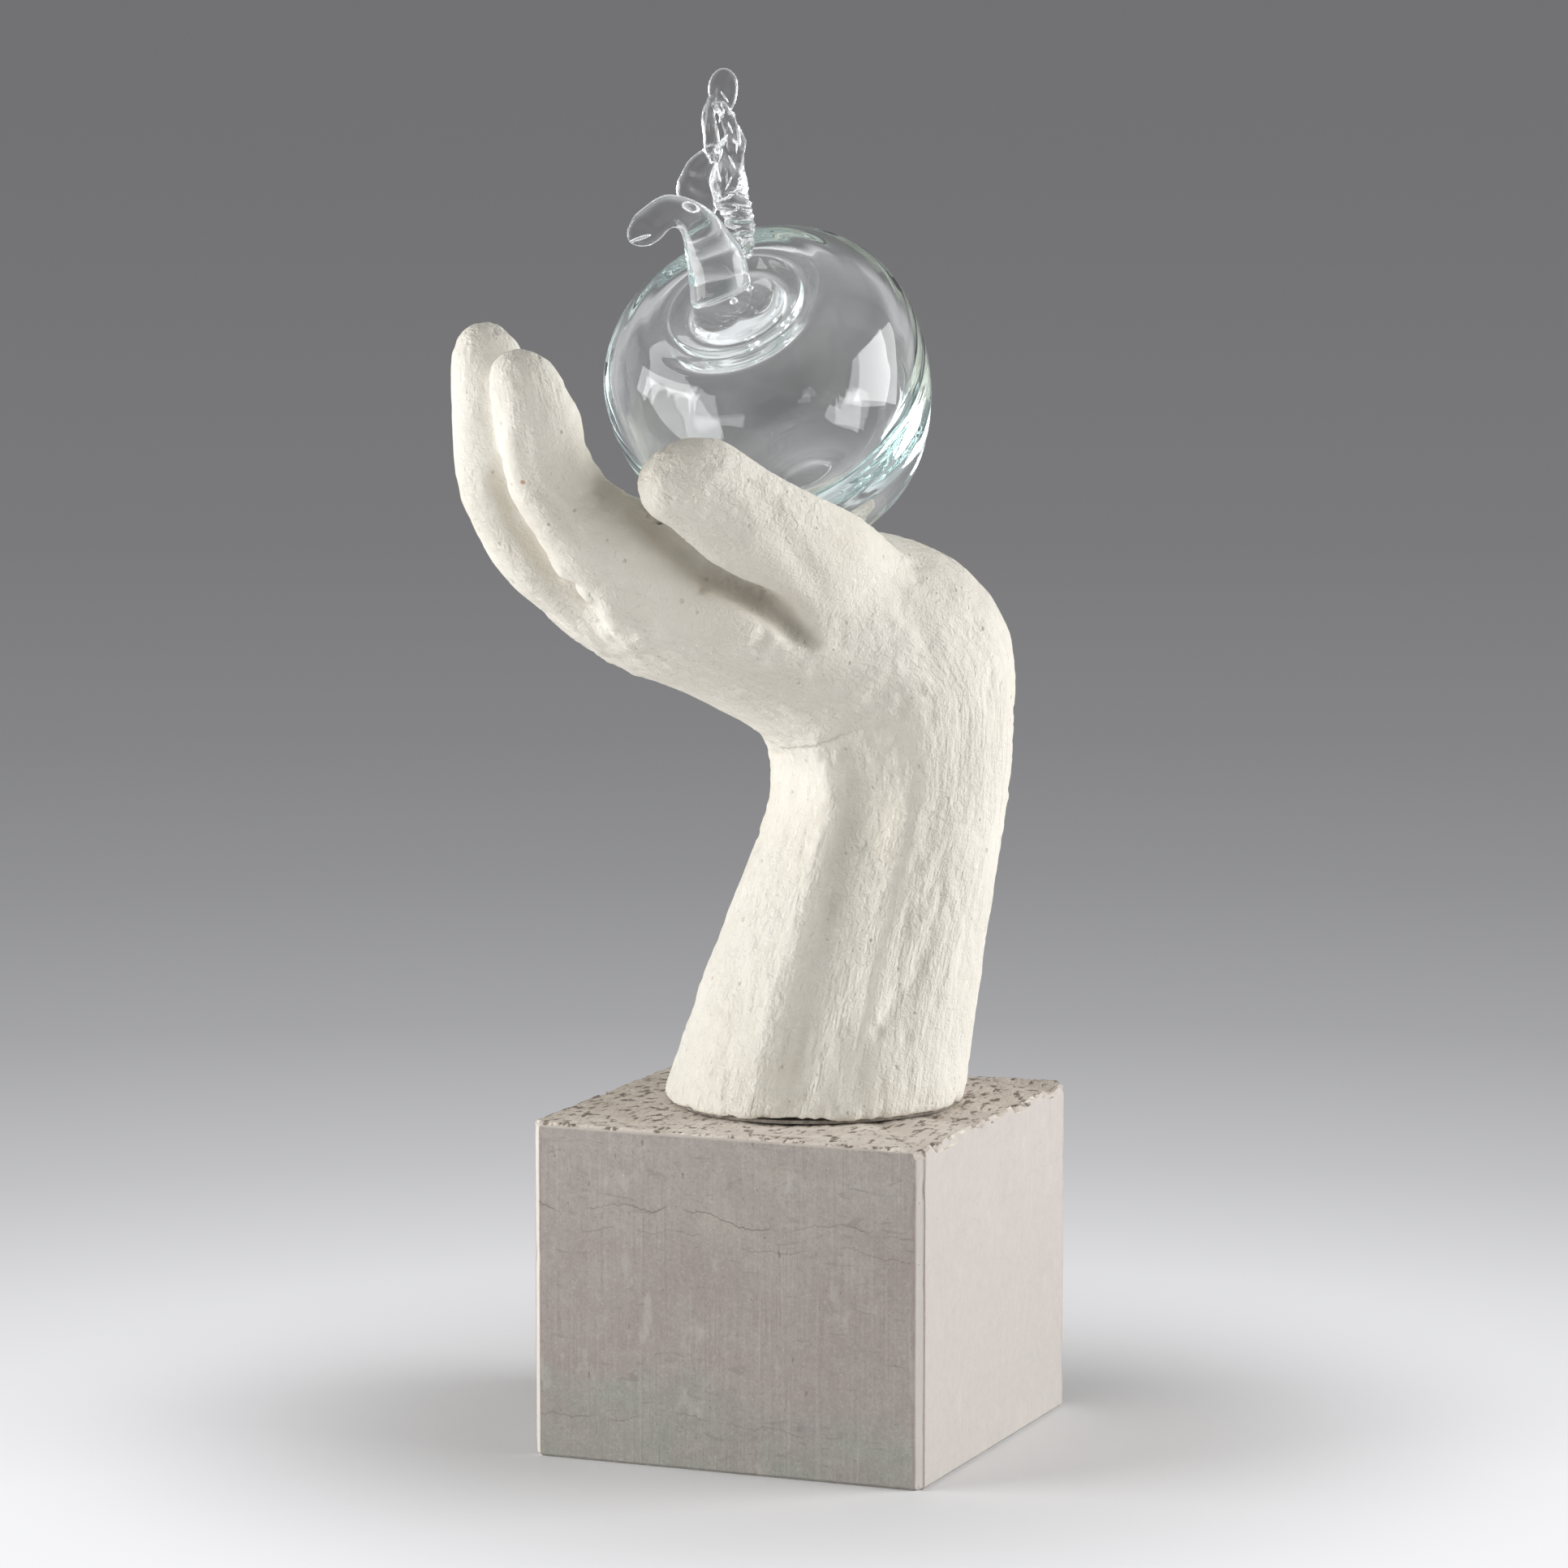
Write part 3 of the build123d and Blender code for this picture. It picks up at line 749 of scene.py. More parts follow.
# %% [markdown]
# ## Leaning the apple into the palm
# The two shells become one piece, which is then turned and moved to where it lies in the hand.


# %% Apple: into the palm
def join(pieces):
    """Joins pieces into the first of them."""
    only(pieces[0])
    for piece in pieces:
        piece.select_set(True)
    bpy.ops.object.join()
    return bpy.context.object


apple = join([apple_skin, apple_hollow])
apple_turn = apple_axis.to_track_quat("Z", "X").to_matrix().to_4x4()
apple.matrix_world = Matrix.Translation(apple_middle) @ apple_turn
settle(apple)
tell(apple)

# %% [markdown]
# ## The stem and the leaf
# Both were drawn out of hot glass. The stem is a trumpet whose end was pulled over into a drooping
# paddle. The leaf is a strip that was crimped with pincers, folded over on itself and looped at its
# tip: a lobe at the left, a strand behind, a folded column, a loop, and a ruffle at the lower right.
# A ring of points is extruded from section to section. Each section has a left and a right end,
# and a waist makes the middle thinner than the rims, which is where glass thickens into a bead.

# %% Stem and leaf: sections
neck = Vector((-7.24, -27.63, 301.77)) * MM
spokes = 20
# left end (across, up), right end (across, up), away, half thickness, waist, in mm from the neck
stem_rows = [
    (-12.5, -0.4, 4.0, 6.0, 0.0, 8.4, 0.0), (-12.4, 3.6, 3.0, 8.6, 0.0, 8.0, 0.0),
    (-12.9, 8.6, 2.4, 13.4, 0.0, 7.2, 0.0), (-13.6, 13.4, 0.8, 17.4, 0.0, 6.2, 0.0),
    (-14.2, 17.4, -2.3, 21.3, 0.0, 5.3, 0.1), (-14.8, 20.2, -5.6, 25.0, 0.0, 4.6, 0.2),
    (-15.8, 21.9, -9.4, 28.2, 0.0, 4.0, 0.30), (-17.2, 22.0, -13.6, 30.2, 0.0, 3.5, 0.40),
    (-18.6, 20.9, -18.0, 30.8, 0.0, 3.1, 0.45), (-20.0, 18.9, -21.8, 29.6, 0.0, 2.9, 0.50),
    (-22.3, 17.3, -24.9, 27.2, 0.0, 2.8, 0.50), (-24.8, 16.8, -27.1, 25.0, 0.0, 2.6, 0.45),
    (-27.1, 17.3, -28.4, 22.8, 0.0, 2.2, 0.30), (-28.7, 18.2, -29.3, 20.6, 0.0, 1.5, 0.10),
]
leaf_parts = {
    # name: (rows, scale of the crimps across, away and up, their depth in mm)
    "lobe": ([
        (-12.5, 24.5, -5.5, 24.5, 5.0, 1.9, 0.2), (-16.6, 29.6, -5.5, 27.7, 6.5, 1.9, 0.4),
        (-16.2, 33.2, -5.7, 30.2, 7.2, 1.9, 0.55), (-14.8, 36.4, -5.8, 33.1, 7.8, 1.9, 0.60),
        (-13.0, 39.0, -5.5, 35.9, 8.0, 1.8, 0.55), (-10.6, 41.3, -4.6, 38.4, 8.0, 1.7, 0.45),
        (-8.1, 42.9, -4.0, 40.9, 7.8, 1.5, 0.3), (-5.8, 43.6, -3.8, 42.8, 7.5, 1.1, 0.0),
    ], (160, 160, 160), 0.5),
    "strand": ([
        (-7.6, 38.0, -4.4, 38.0, 9.0, 1.2, 0.0), (-8.6, 41.0, -4.8, 41.0, 9.4, 1.5, 0.2),
        (-9.4, 43.6, -5.1, 43.2, 9.6, 1.6, 0.3), (-9.8, 46.4, -5.4, 46.0, 9.7, 1.6, 0.3),
        (-9.7, 49.4, -5.8, 49.4, 9.7, 1.6, 0.3), (-9.4, 52.2, -6.2, 52.4, 9.6, 1.4, 0.3),
        (-8.9, 54.4, -6.3, 54.8, 9.4, 1.3, 0.2), (-8.3, 56.2, -5.8, 56.6, 9.0, 1.0, 0.0),
    ], (500, 300, 110), 0.8),
    "column": ([
        (-6.2, 25.4, 2.4, 26.0, 6.8, 3.0, 0.0), (-6.8, 29.4, 2.4, 30.0, 7.1, 3.6, 0.1),
        (-7.0, 32.7, 2.1, 33.3, 7.4, 3.4, 0.2), (-7.1, 35.3, 2.2, 36.1, 7.5, 3.3, 0.2),
        (-7.2, 38.0, 2.0, 38.6, 7.6, 3.2, 0.2), (-6.9, 40.4, 1.7, 40.7, 7.7, 3.0, 0.2),
        (-5.6, 42.8, 1.7, 43.0, 7.8, 2.8, 0.3), (-4.5, 45.0, 1.5, 45.4, 7.9, 2.7, 0.3),
        (-4.5, 47.2, 1.0, 47.6, 8.0, 2.5, 0.4), (-5.0, 49.4, -0.1, 49.5, 8.1, 2.5, 0.4),
        (-5.9, 51.7, -1.3, 51.1, 8.2, 2.4, 0.3), (-6.8, 53.5, -2.6, 52.3, 8.3, 2.2, 0.2),
        (-7.4, 54.8, -4.0, 54.0, 8.3, 1.7, 0.0),
    ], (330, 240, 130), 1.7),
    "loop": ([
        (-4.6, 51.8, -2.3, 51.6, 8.9, 1.0, 0.0), (-6.4, 53.4, -1.3, 52.8, 8.9, 1.3, 0.3),
        (-7.5, 55.2, -0.6, 54.6, 8.9, 1.5, 0.55), (-8.0, 57.1, -0.2, 56.7, 8.9, 1.6, 0.62),
        (-7.9, 59.1, -0.1, 58.9, 8.9, 1.6, 0.62), (-7.3, 60.9, -0.4, 60.7, 8.9, 1.5, 0.58),
        (-6.1, 62.4, -1.4, 62.2, 8.9, 1.4, 0.35), (-4.7, 63.3, -2.4, 63.1, 8.9, 1.0, 0.0),
    ], (150, 150, 150), 0.4),
    "ruffle": ([
        (2.0, 13.4, 3.4, 13.8, 4.4, 1.5, 0.0), (1.0, 16.4, 3.8, 17.0, 4.9, 2.8, 0.0),
        (-0.4, 18.8, 4.1, 20.0, 5.4, 3.4, 0.0), (-2.0, 21.2, 4.0, 22.7, 5.8, 3.5, 0.0),
        (-3.8, 23.7, 3.6, 25.4, 6.2, 3.6, 0.0), (-5.0, 26.0, 3.1, 27.7, 6.5, 3.6, 0.0),
        (-5.8, 28.1, 2.7, 29.8, 6.8, 3.4, 0.0), (-5.8, 30.2, 2.4, 31.7, 7.0, 2.8, 0.0),
        (-5.0, 31.6, 1.9, 32.9, 7.1, 1.8, 0.0),
    ], (90, 90, 460), 1.7),
}
print("sections", len(stem_rows), {name: len(part[0]) for name, part in leaf_parts.items()})

# %% [markdown]
# ## Drawing the glass out
# The ring is extruded in edit mode, and after each step its points are put round the next section.
# Every point carries its number on the ring, which the extrusion copies. Subdivision rounds it off.


# %% Stem: a drawn piece
def ring_at(piece, row):
    """Puts the selected ring of points round one section."""
    left, left_up, right, right_up, back, half_thick = (value * MM for value in row[:-1])
    waist = row[-1]
    mesh = bmesh.from_edit_mesh(piece.data)
    spoke = mesh.verts.layers.int["spoke"]
    middle = neck + rightwards * (left + right) / 2 + away * back
    middle.z += (left_up + right_up) / 2
    half = rightwards * (right - left) / 2 + Vector((0, 0, (right_up - left_up) / 2))
    for vert in mesh.verts:
        if vert.select:
            turn = 2 * math.pi * vert[spoke] / spokes
            thick = math.sin(turn) * (1 - waist * math.sin(turn) ** 2)
            vert.co = middle + half * math.cos(turn) + away * half_thick * thick
    bmesh.update_edit_mesh(piece.data)


def drawn_glass(name, rows):
    """Extrudes a ring of points through the sections and rounds it off."""
    bpy.ops.mesh.primitive_circle_add(vertices=spokes, radius=MM, fill_type="NGON", location=(0, 0, 0))
    piece = bpy.context.object
    piece.name = name
    number = piece.data.attributes.new("spoke", "INT", "POINT")
    number.data.foreach_set("value", list(range(spokes)))
    with editing(piece):
        ring_at(piece, rows[0])
        for row in rows[1:]:
            bpy.ops.mesh.extrude_region_move()
            ring_at(piece, row)
        bpy.ops.mesh.select_all(action="SELECT")
        bpy.ops.mesh.normals_make_consistent(inside=False)
    modify(piece, "SUBSURF", levels=2, render_levels=2)
    tell(piece)
    return piece


stem = drawn_glass("stem_glass", stem_rows)

# %% [markdown]
# ## Crimping the leaf
# Pincers left level ribs on the ruffle, and the folded strip has long creases. Each part's skin is
# moved by noise that is finer in one direction than in the others, and the crests of the noise
# are sharp, as pinched glass is.


# %% Leaf: ribs and folds
def crimp(piece, scale, depth, seed):
    """Moves a piece's skin in and out by noise in the directions across, away and up."""
    skin = vectors_of(piece)
    off = skin - np.array(neck)
    own_place = np.stack((off @ np.array(rightwards), off @ np.array(away), off[:, 2]), 1)
    waves = 0.5 - 2.0 * np.abs(noise_at(own_place, scale, seed))
    small = noise_at(own_place, np.array(scale) * 1.9, seed + 5)
    crimps = (waves * 0.6 + small * 0.4) * depth * MM
    put_points(piece, skin + vectors_of(piece, "normal") * crimps[:, None])


leaf_glass = []
for number, (name, (rows, scale, depth)) in enumerate(leaf_parts.items()):
    leaf_glass.append(drawn_glass(name, rows))
    crimp(leaf_glass[-1], scale, depth, 3.7 * number)
crimp(stem, (70, 70, 70), 0.5, 40.0)

# %% [markdown]
# ## Melting the stem and leaf on
# The glasses were fused while hot, so there is no skin between them. The crimped parts of the leaf
# cross themselves, so a fine voxel remesh melts them into one skin. A union then takes the inner
# skins away, and light passes from the collar into the stem as in one piece of glass.

# %% Apple: one body of glass
leaf_voxel = 0.28 * MM
leaf = join(leaf_glass)
leaf.name = "leaf_glass"
modify(leaf, "REMESH", mode="VOXEL", voxel_size=leaf_voxel, use_smooth_shade=True)
modify(leaf, "SMOOTH", factor=0.5, iterations=4)
tell(leaf)
for body, melted_on in ((stem, leaf), (apple, stem)):
    modify(body, "BOOLEAN", object=melted_on, operation="UNION", solver="EXACT")
    bpy.data.objects.remove(melted_on)
tell(apple)

# %% [markdown]
# ## Air in the glass
# Folding hot glass over itself shuts in thin creases of air, and they are what makes the leaf
# sparkle. Each is a sphere drawn out long, leaned over and turned inside out, because the air is
# outside the glass. Two round bubbles sit in the collar.

# %% Apple: creases and bubbles
# across, away and up from the neck in mm, half length, half thickness, lean in degrees
trapped_air = [
    (-1.0, -1.2, 2.6, 1.3, 1.1, 0), (3.2, 0.4, 5.8, 1.1, 0.9, 20), (-3.6, 8.0, 55.6, 1.8, .32, -35),
    (-4.6, 8.4, 50.6, 1.9, .30, 15), (-2.0, 8.2, 47.6, 1.8, .32, -20), (-3.4, 7.4, 44.4, 1.7, .34, 25),
    (-0.8, 8.6, 42.6, 1.9, .34, -12), (-4.6, 7.6, 40.4, 1.9, .36, 8), (-1.6, 7.0, 38.6, 2.1, .36, -30),
    (0.2, 8.4, 36.0, 1.8, .34, 12), (-4.8, 7.0, 35.6, 2.0, .36, -14), (-2.6, 8.2, 33.2, 2.2, .38, 32),
    (-0.4, 7.0, 31.2, 2.0, 0.36, 68), (-3.4, 6.6, 29.2, 2.3, 0.38, 74), (0.4, 7.6, 27.0, 2.1, 0.36, 80),
    (-2.0, 6.4, 25.2, 2.2, 0.36, 62), (1.2, 6.4, 23.0, 1.9, 0.34, 84), (0.4, 5.6, 20.4, 1.9, 0.32, 76),
    (2.0, 5.2, 18.0, 1.5, 0.30, 82), (-25.4, 0.0, 19.3, 3.0, 0.60, 72),
]
shortest_crease, crease_flatness = 1.4, 2.2
bubbles = []
for across, back, up, half_long, half_thick, lean in trapped_air:
    bpy.ops.mesh.primitive_uv_sphere_add(segments=14, ring_count=12, radius=MM, location=(0, 0, 0))
    bubble = bpy.context.object
    half_deep = half_thick * (crease_flatness if half_long > shortest_crease else 1)
    turned = Matrix.Rotation(math.radians(lean), 4, away) @ Matrix.Rotation(camera_bearing, 4, "Z")
    centre = neck + (rightwards * across + away * back + Vector((0, 0, up))) * MM
    drawn_out = Matrix.Diagonal((half_thick, half_deep, half_long, 1))
    bubble.matrix_world = Matrix.Translation(centre) @ turned @ drawn_out
    settle(bubble)
    turn_inside_out(bubble)
    bubbles.append(bubble)
join([apple, *bubbles])
bpy.ops.object.shade_smooth_by_angle(angle=math.radians(60))
tell(apple)

# %% [markdown]
# ## Clear glass
# The glass is clear, and only its thick edges look faintly green. The tint is therefore in the
# depth of the glass, as absorption, and not on its skin. For rays from the lamps the glass is
# see-through, so that light reaches the palm under the apple.

# %% Material: glass
depth_green, depth_density = (0.55, 0.86, 0.84, 1), 3.2
lamp_tint = (0.95, 0.97, 0.965, 1)
clear_glass, tree, shader = new_material(
    "clear_glass", Base_Color=(1, 1, 1, 1), Roughness=0.0, IOR=1.47, Transmission_Weight=1.0)
rays = place(tree, "LightPath").outputs
through = place(tree, "BsdfTransparent", Color=lamp_tint).outputs[0]
skin = place(tree, "MixShader", None, (rays["Is Shadow Ray"], shader.outputs[0], through)).outputs[0]
depth = place(tree, "VolumeAbsorption", Color=depth_green, Density=depth_density).outputs[0]
tree.links.new(skin, tree.nodes["Material Output"].inputs["Surface"])
tree.links.new(depth, tree.nodes["Material Output"].inputs["Volume"])
emboss(tree, shader, cloud(tree, place_on(tree), 60.0, Detail=1.0), 0.05, 0.5 * MM)
apple.data.materials.append(clear_glass)
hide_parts("apple_body", "base_button", "stem_collar", "apple_stem", "apple_leaf")
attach(apple, "apple")
print("material", clear_glass.name)

# %% [markdown]
# ## The stone block
# The block is sawn limestone: honed on its sides, with fine upright saw lines, and left rough and
# pitted on top. A cube is bevelled down its corners and round its rims, and its long edges are
# divided so that the faces have enough points to be chipped and pitted.


# %% Block: shape
def pick(piece, choose):
    """Selects the edges of a piece that a test in edit mode agrees to, and stays in edit mode."""
    only(piece)
    bpy.ops.object.mode_set(mode="EDIT")
    bpy.ops.mesh.select_mode(type="EDGE")
    bpy.ops.mesh.select_all(action="DESELECT")
    mesh = bmesh.from_edit_mesh(piece.data)
    for edge in mesh.edges:
        if choose(edge):
            edge.select_set(True)
    bmesh.update_edit_mesh(piece.data)


def upright(edge):
    return abs((edge.verts[0].co - edge.verts[1].co).normalized().z) > 0.9


def in_rim(edge):
    return abs(edge.verts[0].co.z - edge.verts[1].co.z) < 0.1 * MM


corner_bevel, rim_bevel = 2.2 * MM, 0.8 * MM
long_edge, cuts = 30 * MM, 84
block_low, block_high = (np.array(corner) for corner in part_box("stone_base"))
bpy.ops.mesh.primitive_cube_add(size=1, location=(block_low + block_high) / 2)
block = bpy.context.object
block.name = "block_stone"
block.scale = block_high - block_low
settle(block)
for choose, bevel in ((upright, corner_bevel), (in_rim, rim_bevel)):
    pick(block, choose)
    bpy.ops.mesh.bevel(offset=bevel, segments=1)
pick(block, lambda edge: edge.calc_length() > long_edge)
bpy.ops.mesh.subdivide(number_cuts=cuts)
bpy.ops.object.mode_set(mode="OBJECT")
tell(block)

# %% [markdown]
# ## The hole for the rod
# The block is drilled through for the rod, and wider from below for its nut and washer. A cylinder
# is taken away for each, and it runs past the block's faces so that the cut is clean.

# %% Block: hole and recess under it
rod_low, rod_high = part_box("fixing_rod")
rod_middle = (rod_low + rod_high) / 2
# radius, lower and upper end in mm: the rod's hole and the nut's recess
for radius, bottom, top in ((4.5, -5, 95), (16, -5, 20)):
    bpy.ops.mesh.primitive_cylinder_add(
        vertices=64, radius=radius * MM, depth=(top - bottom) * MM,
        location=(rod_middle.x, rod_middle.y, (top + bottom) / 2 * MM))
    drill = bpy.context.object
    modify(block, "BOOLEAN", object=drill, operation="DIFFERENCE", solver="EXACT")
    bpy.data.objects.remove(drill)
tell(block)

# %% [markdown]
# ## The rough top
# Only the top was left as it broke from the saw's kerf, so its points are pitted: they are pushed
# down by noise that is cut off below a level, so that flatter stone stays between the pits.

# %% Block: pits in the top
stone = vectors_of(block)
top_z, side = float(block_high[2]), float(block_high[0])
pit_grain = (380, 210, 380)
pit_start, deep, shallow, least = 0.08, 1.8, 0.25, 0.06
on_top = np.clip((stone[:, 2] - (top_z - 0.9 * MM)) / (0.8 * MM), 0, 1)
pits = np.clip(noise_at(stone, pit_grain, 1.7) - pit_start, 0, 0.5)
fine_pits = np.clip(noise_at(stone, (620,) * 3, 4.4), 0, 1)
pit_depth = pits * deep + fine_pits * shallow + least
stone[:, 2] -= on_top * pit_depth * MM
print("pits down to", round(float((on_top * pit_depth).max()), 2), "mm")

# %% [markdown]
# ## Worn edges
# Flakes came off the rim of the top, most of them along its right edge, and the upright edges have
# small nicks. A flake takes stone away downward and inward, and only close to the rim.

# %% Block: flakes off the rim and nicks in the corners
rim_reach, flake_depth, nick_depth = 3.0 * MM, 3.0 * MM, 0.5 * MM
down_share, inward_share = 0.8, 0.5
to_sides = block_high[:2] - np.abs(stone[:, :2])
flakes = noise_at(stone, (210,) * 3, 11.0) + 0.5 * noise_at(stone, (560,) * 3, 2.2)
right_edge = np.clip((stone[:, 0] - (side - 2.6 * MM)) / (1.5 * MM), 0, 1)
near_rim = np.clip(1 - (top_z - stone[:, 2]) / rim_reach, 0, 1)
near_rim *= np.clip(1 - to_sides.min(axis=1) / rim_reach, 0, 1)
flaked = near_rim * (0.25 + right_edge) * np.clip(flakes + 0.25, 0, 1) * flake_depth
stone[:, 2] -= flaked * down_share
stone[:, :2] -= np.sign(stone[:, :2]) * (flaked * inward_share)[:, None] * (to_sides < rim_reach)
in_corner = np.abs(stone[:, :2]).min(axis=1) > side - rim_reach
nicks = np.clip(noise_at(stone, (170, 170, 120), 31.0) - 0.3, 0, 1) * in_corner * nick_depth
stone[:, :2] -= np.sign(stone[:, :2]) * nicks[:, None]
put_points(block, stone)
only(block)
bpy.ops.object.shade_smooth_by_angle(angle=math.radians(28))
print("deepest flake and nick", [round(float(cut.max()) / MM, 2) for cut in (flaked, nicks)], "mm")

# %% [markdown]
# ## Limestone
# The stone's colour changes with height: warm grey at the top, taupe with a purple cast in the
# middle, greenish grey at the foot. The limits between them wander, and slow drifts of darker and
# paler tone lie over them.

# %% Limestone: tones
foot_grey, taupe, head_grey = (0.330, 0.340, 0.300), (0.385, 0.335, 0.310), (0.420, 0.385, 0.345)
limestone, tree, shader = new_material("limestone", IOR=1.5, Specular_IOR_Level=0.4)
here = place_on(tree)
up_block = place(tree, "SeparateXYZ", Vector=here).outputs["Z"]
wander = sums(tree, "SUBTRACT", cloud(tree, here, 22.0, Detail=4.0), 0.5)
rise = piled(tree, up_block, (wander, 60 * MM))
colour = tint(tree, ease(tree, rise, 18 * MM, 30 * MM), foot_grey, taupe)
colour = tint(tree, ease(tree, rise, 52 * MM, 74 * MM), colour, head_grey)
clouded = drifting(tree, here, 130.0, 0.45, 0.75)
colour = coat(tree, colour, drifting(tree, here, 70.0, 0.35, 0.68), 0.55, (0.335, 0.275, 0.265))
colour = coat(tree, colour, clouded, 0.40, (0.480, 0.450, 0.405))
colour = coat(tree, colour, drifting(tree, here, 420.0, 0.35, 0.70), 0.45, (0.290, 0.260, 0.240))
print("material", limestone.name, len(tree.nodes), "nodes")

# %% [markdown]
# ## Grains, saw lines and wisps
# Over the tones lie fine grains, the pale upright lines of the saw, dark wisps and pale smears. Each
# is a pattern of noise eased into a mask, with its own paint. The face to the right is painted
# paler, a painted sheen for the light that it catches at a glancing view.

# %% Limestone: grains, saw lines and wisps
grains = cloud(tree, here, 1500.0, Detail=3.0, Roughness=0.7)
saw = cloud(tree, stretched(tree, here, (1100, 1100, 30)), Detail=4.0)
saw_worn = sums(tree, "MULTIPLY", ease(tree, saw, 0.45, 0.72), drifting(tree, here, 40.0, 0.38, 0.66))
wisps = cloud(tree, stretched(tree, here, (75, 75, 300)), Detail=4.0, Distortion=1.5)
smears = cloud(tree, stretched(tree, here, (160, 160, 70)), Detail=5.0)
# the face to the right is painted paler: a painted sheen for the light it catches at a glancing view
right_face_sheen = ease(tree, facing(tree, "X"), 0.80, 0.95, 0.0, 0.62)
for mask, paint in (
    (ease(tree, grains, 0.54, 0.72, 0.0, 0.40), (0.560, 0.525, 0.480)),
    (ease(tree, grains, 0.34, 0.46, 0.35, 0.0), (0.220, 0.195, 0.180)),
    (sums(tree, "MULTIPLY", saw_worn, 0.30), (0.520, 0.480, 0.440)),
    (ease(tree, wisps, 0.60, 0.70, 0.0, 0.40), (0.215, 0.200, 0.190)),
    (ease(tree, smears, 0.60, 0.72, 0.0, 0.35), (0.560, 0.530, 0.490)),
    (right_face_sheen, (0.700, 0.645, 0.610)),
):
    colour = tint(tree, mask, colour, paint)
print("with grains, saw lines, wisps and smears", len(tree.nodes), "nodes")

# %% [markdown]
# ## Seams, flecks and fossils
# Three thin dark seams run level across the block, two of them near its top. A seam is where the
# height, moved by long slow noise, passes one value, and it is broken where other noise is low.
# Pale flecks, dark marks and two faint round fossils complete the face.

# %% Limestone: seams, flecks and fossils
seam_dark, fossil_plum = (0.150, 0.140, 0.125), (0.24, 0.19, 0.19)
seam_swing, seam_half, seam_edge = 22 * MM, 0.06 * MM, 0.30 * MM
fossil_radius, front = 1.9 * MM, float(block_low[1])
wavy = cloud(tree, stretched(tree, here, (26, 26, 4)), Detail=7.0, Roughness=0.62)
gaps = cloud(tree, here, 75.0, Detail=1.0)
# the seams fade out on the right face, under its painted sheen
seen_front = piled(tree, 1.0, (right_face_sheen, -1.4))
for seam_height, strength in ((67.5, 0.70), (61.5, 0.40), (12.0, 0.45)):
    off = sums(tree, "SUBTRACT", up_block, seam_height * MM + seam_swing / 2)
    off = sums(tree, "ABSOLUTE", piled(tree, off, (wavy, seam_swing)))
    seam = sums(tree, "MULTIPLY", ease(tree, off, seam_half, seam_edge, strength, 0.0), seen_front)
    seam = sums(tree, "MULTIPLY", seam, ease(tree, gaps, 0.40, 0.56))
    colour = tint(tree, seam, colour, seam_dark)
flecks = dotted(tree, here, 210.0, 0.08, 0.10)
marks = dotted(tree, stretched(tree, here, (1, 1, 0.45)), 260.0, 0.10, 0.11)
colour = coat(tree, colour, flecks, 0.8, (0.70, 0.68, 0.63))
colour = coat(tree, colour, marks, 0.7, (0.19, 0.165, 0.15))
for middle in ((-28.4 * MM, front, 24.7 * MM), (34 * MM, front, 70.5 * MM)):
    from_middle = vectors(tree, "LENGTH", vectors(tree, "SUBTRACT", here, middle)[0])["Value"]
    off = sums(tree, "ABSOLUTE", sums(tree, "SUBTRACT", from_middle, fossil_radius))
    ring = ease(tree, off, 0.2 * MM, 0.9 * MM, 0.35, 0.0)
    colour = tint(tree, sums(tree, "MULTIPLY", ring, clouded), colour, fossil_plum)
print("with seams, flecks and fossils", len(tree.nodes), "nodes")

# %% [markdown]
# ## Arrises and the rough top
# The bevelled arrises are pale, where the stone is bruised, with a rusty border. The top is cream
# with brown pits, whose noise is drawn out the same way as the noise that pitted the mesh.

# %% Limestone: arrises and the rough top
bruised, rim_grey, rusty = (0.80, 0.74, 0.69), (0.60, 0.55, 0.49), (0.30, 0.20, 0.13)
cream, pale_cream, pit_brown = (0.73, 0.645, 0.565), (0.88, 0.810, 0.730), (0.150, 0.110, 0.080)
arris = side - corner_bevel
reach_x, reach_y = place(tree, "SeparateXYZ", Vector=vectors(tree, "ABSOLUTE", here)[0]).outputs[:2]
reach = sums(tree, "MINIMUM", reach_x, reach_y)
jitter = piled(tree, reach, (sums(tree, "SUBTRACT", gaps, 0.5), 2.2 * MM))
border = ease(tree, jitter, arris, arris + 0.4 * MM, 1.0, 0.0)
border = sums(tree, "MULTIPLY", ease(tree, jitter, arris - 0.9 * MM, arris - 0.2 * MM), border)
colour = coat(tree, colour, border, 0.22, rusty)
colour = coat(tree, colour, ease(tree, reach, arris, arris + 0.6 * MM), 0.85, bruised)
colour = coat(tree, colour, ease(tree, up_block, top_z - 1.8 * MM, top_z - 1.2 * MM), 0.75, rim_grey)
top = ease(tree, facing(tree, "Z"), 0.30, 0.62)
top = sums(tree, "MULTIPLY", top, ease(tree, up_block, top_z - 10 * MM, top_z - 4 * MM))
pit = cloud(tree, stretched(tree, here, pit_grain), Detail=4.0, Roughness=0.65)
top_colour = tint(tree, drifting(tree, here, 90.0), cream, pale_cream)
top_colour = tint(tree, ease(tree, pit, 0.52, 0.62, 0.0, 0.85), top_colour, pit_brown)
tree.links.new(tint(tree, top, colour, top_colour), shader.inputs["Base Color"])
print("with arrises and top", len(tree.nodes), "nodes")

# %% [markdown]
# ## The feel of the stone
# The honed sides have a faint satin gloss in patches, and the rough top has none. Saw lines, pores
# and grains are shaded as fine relief.

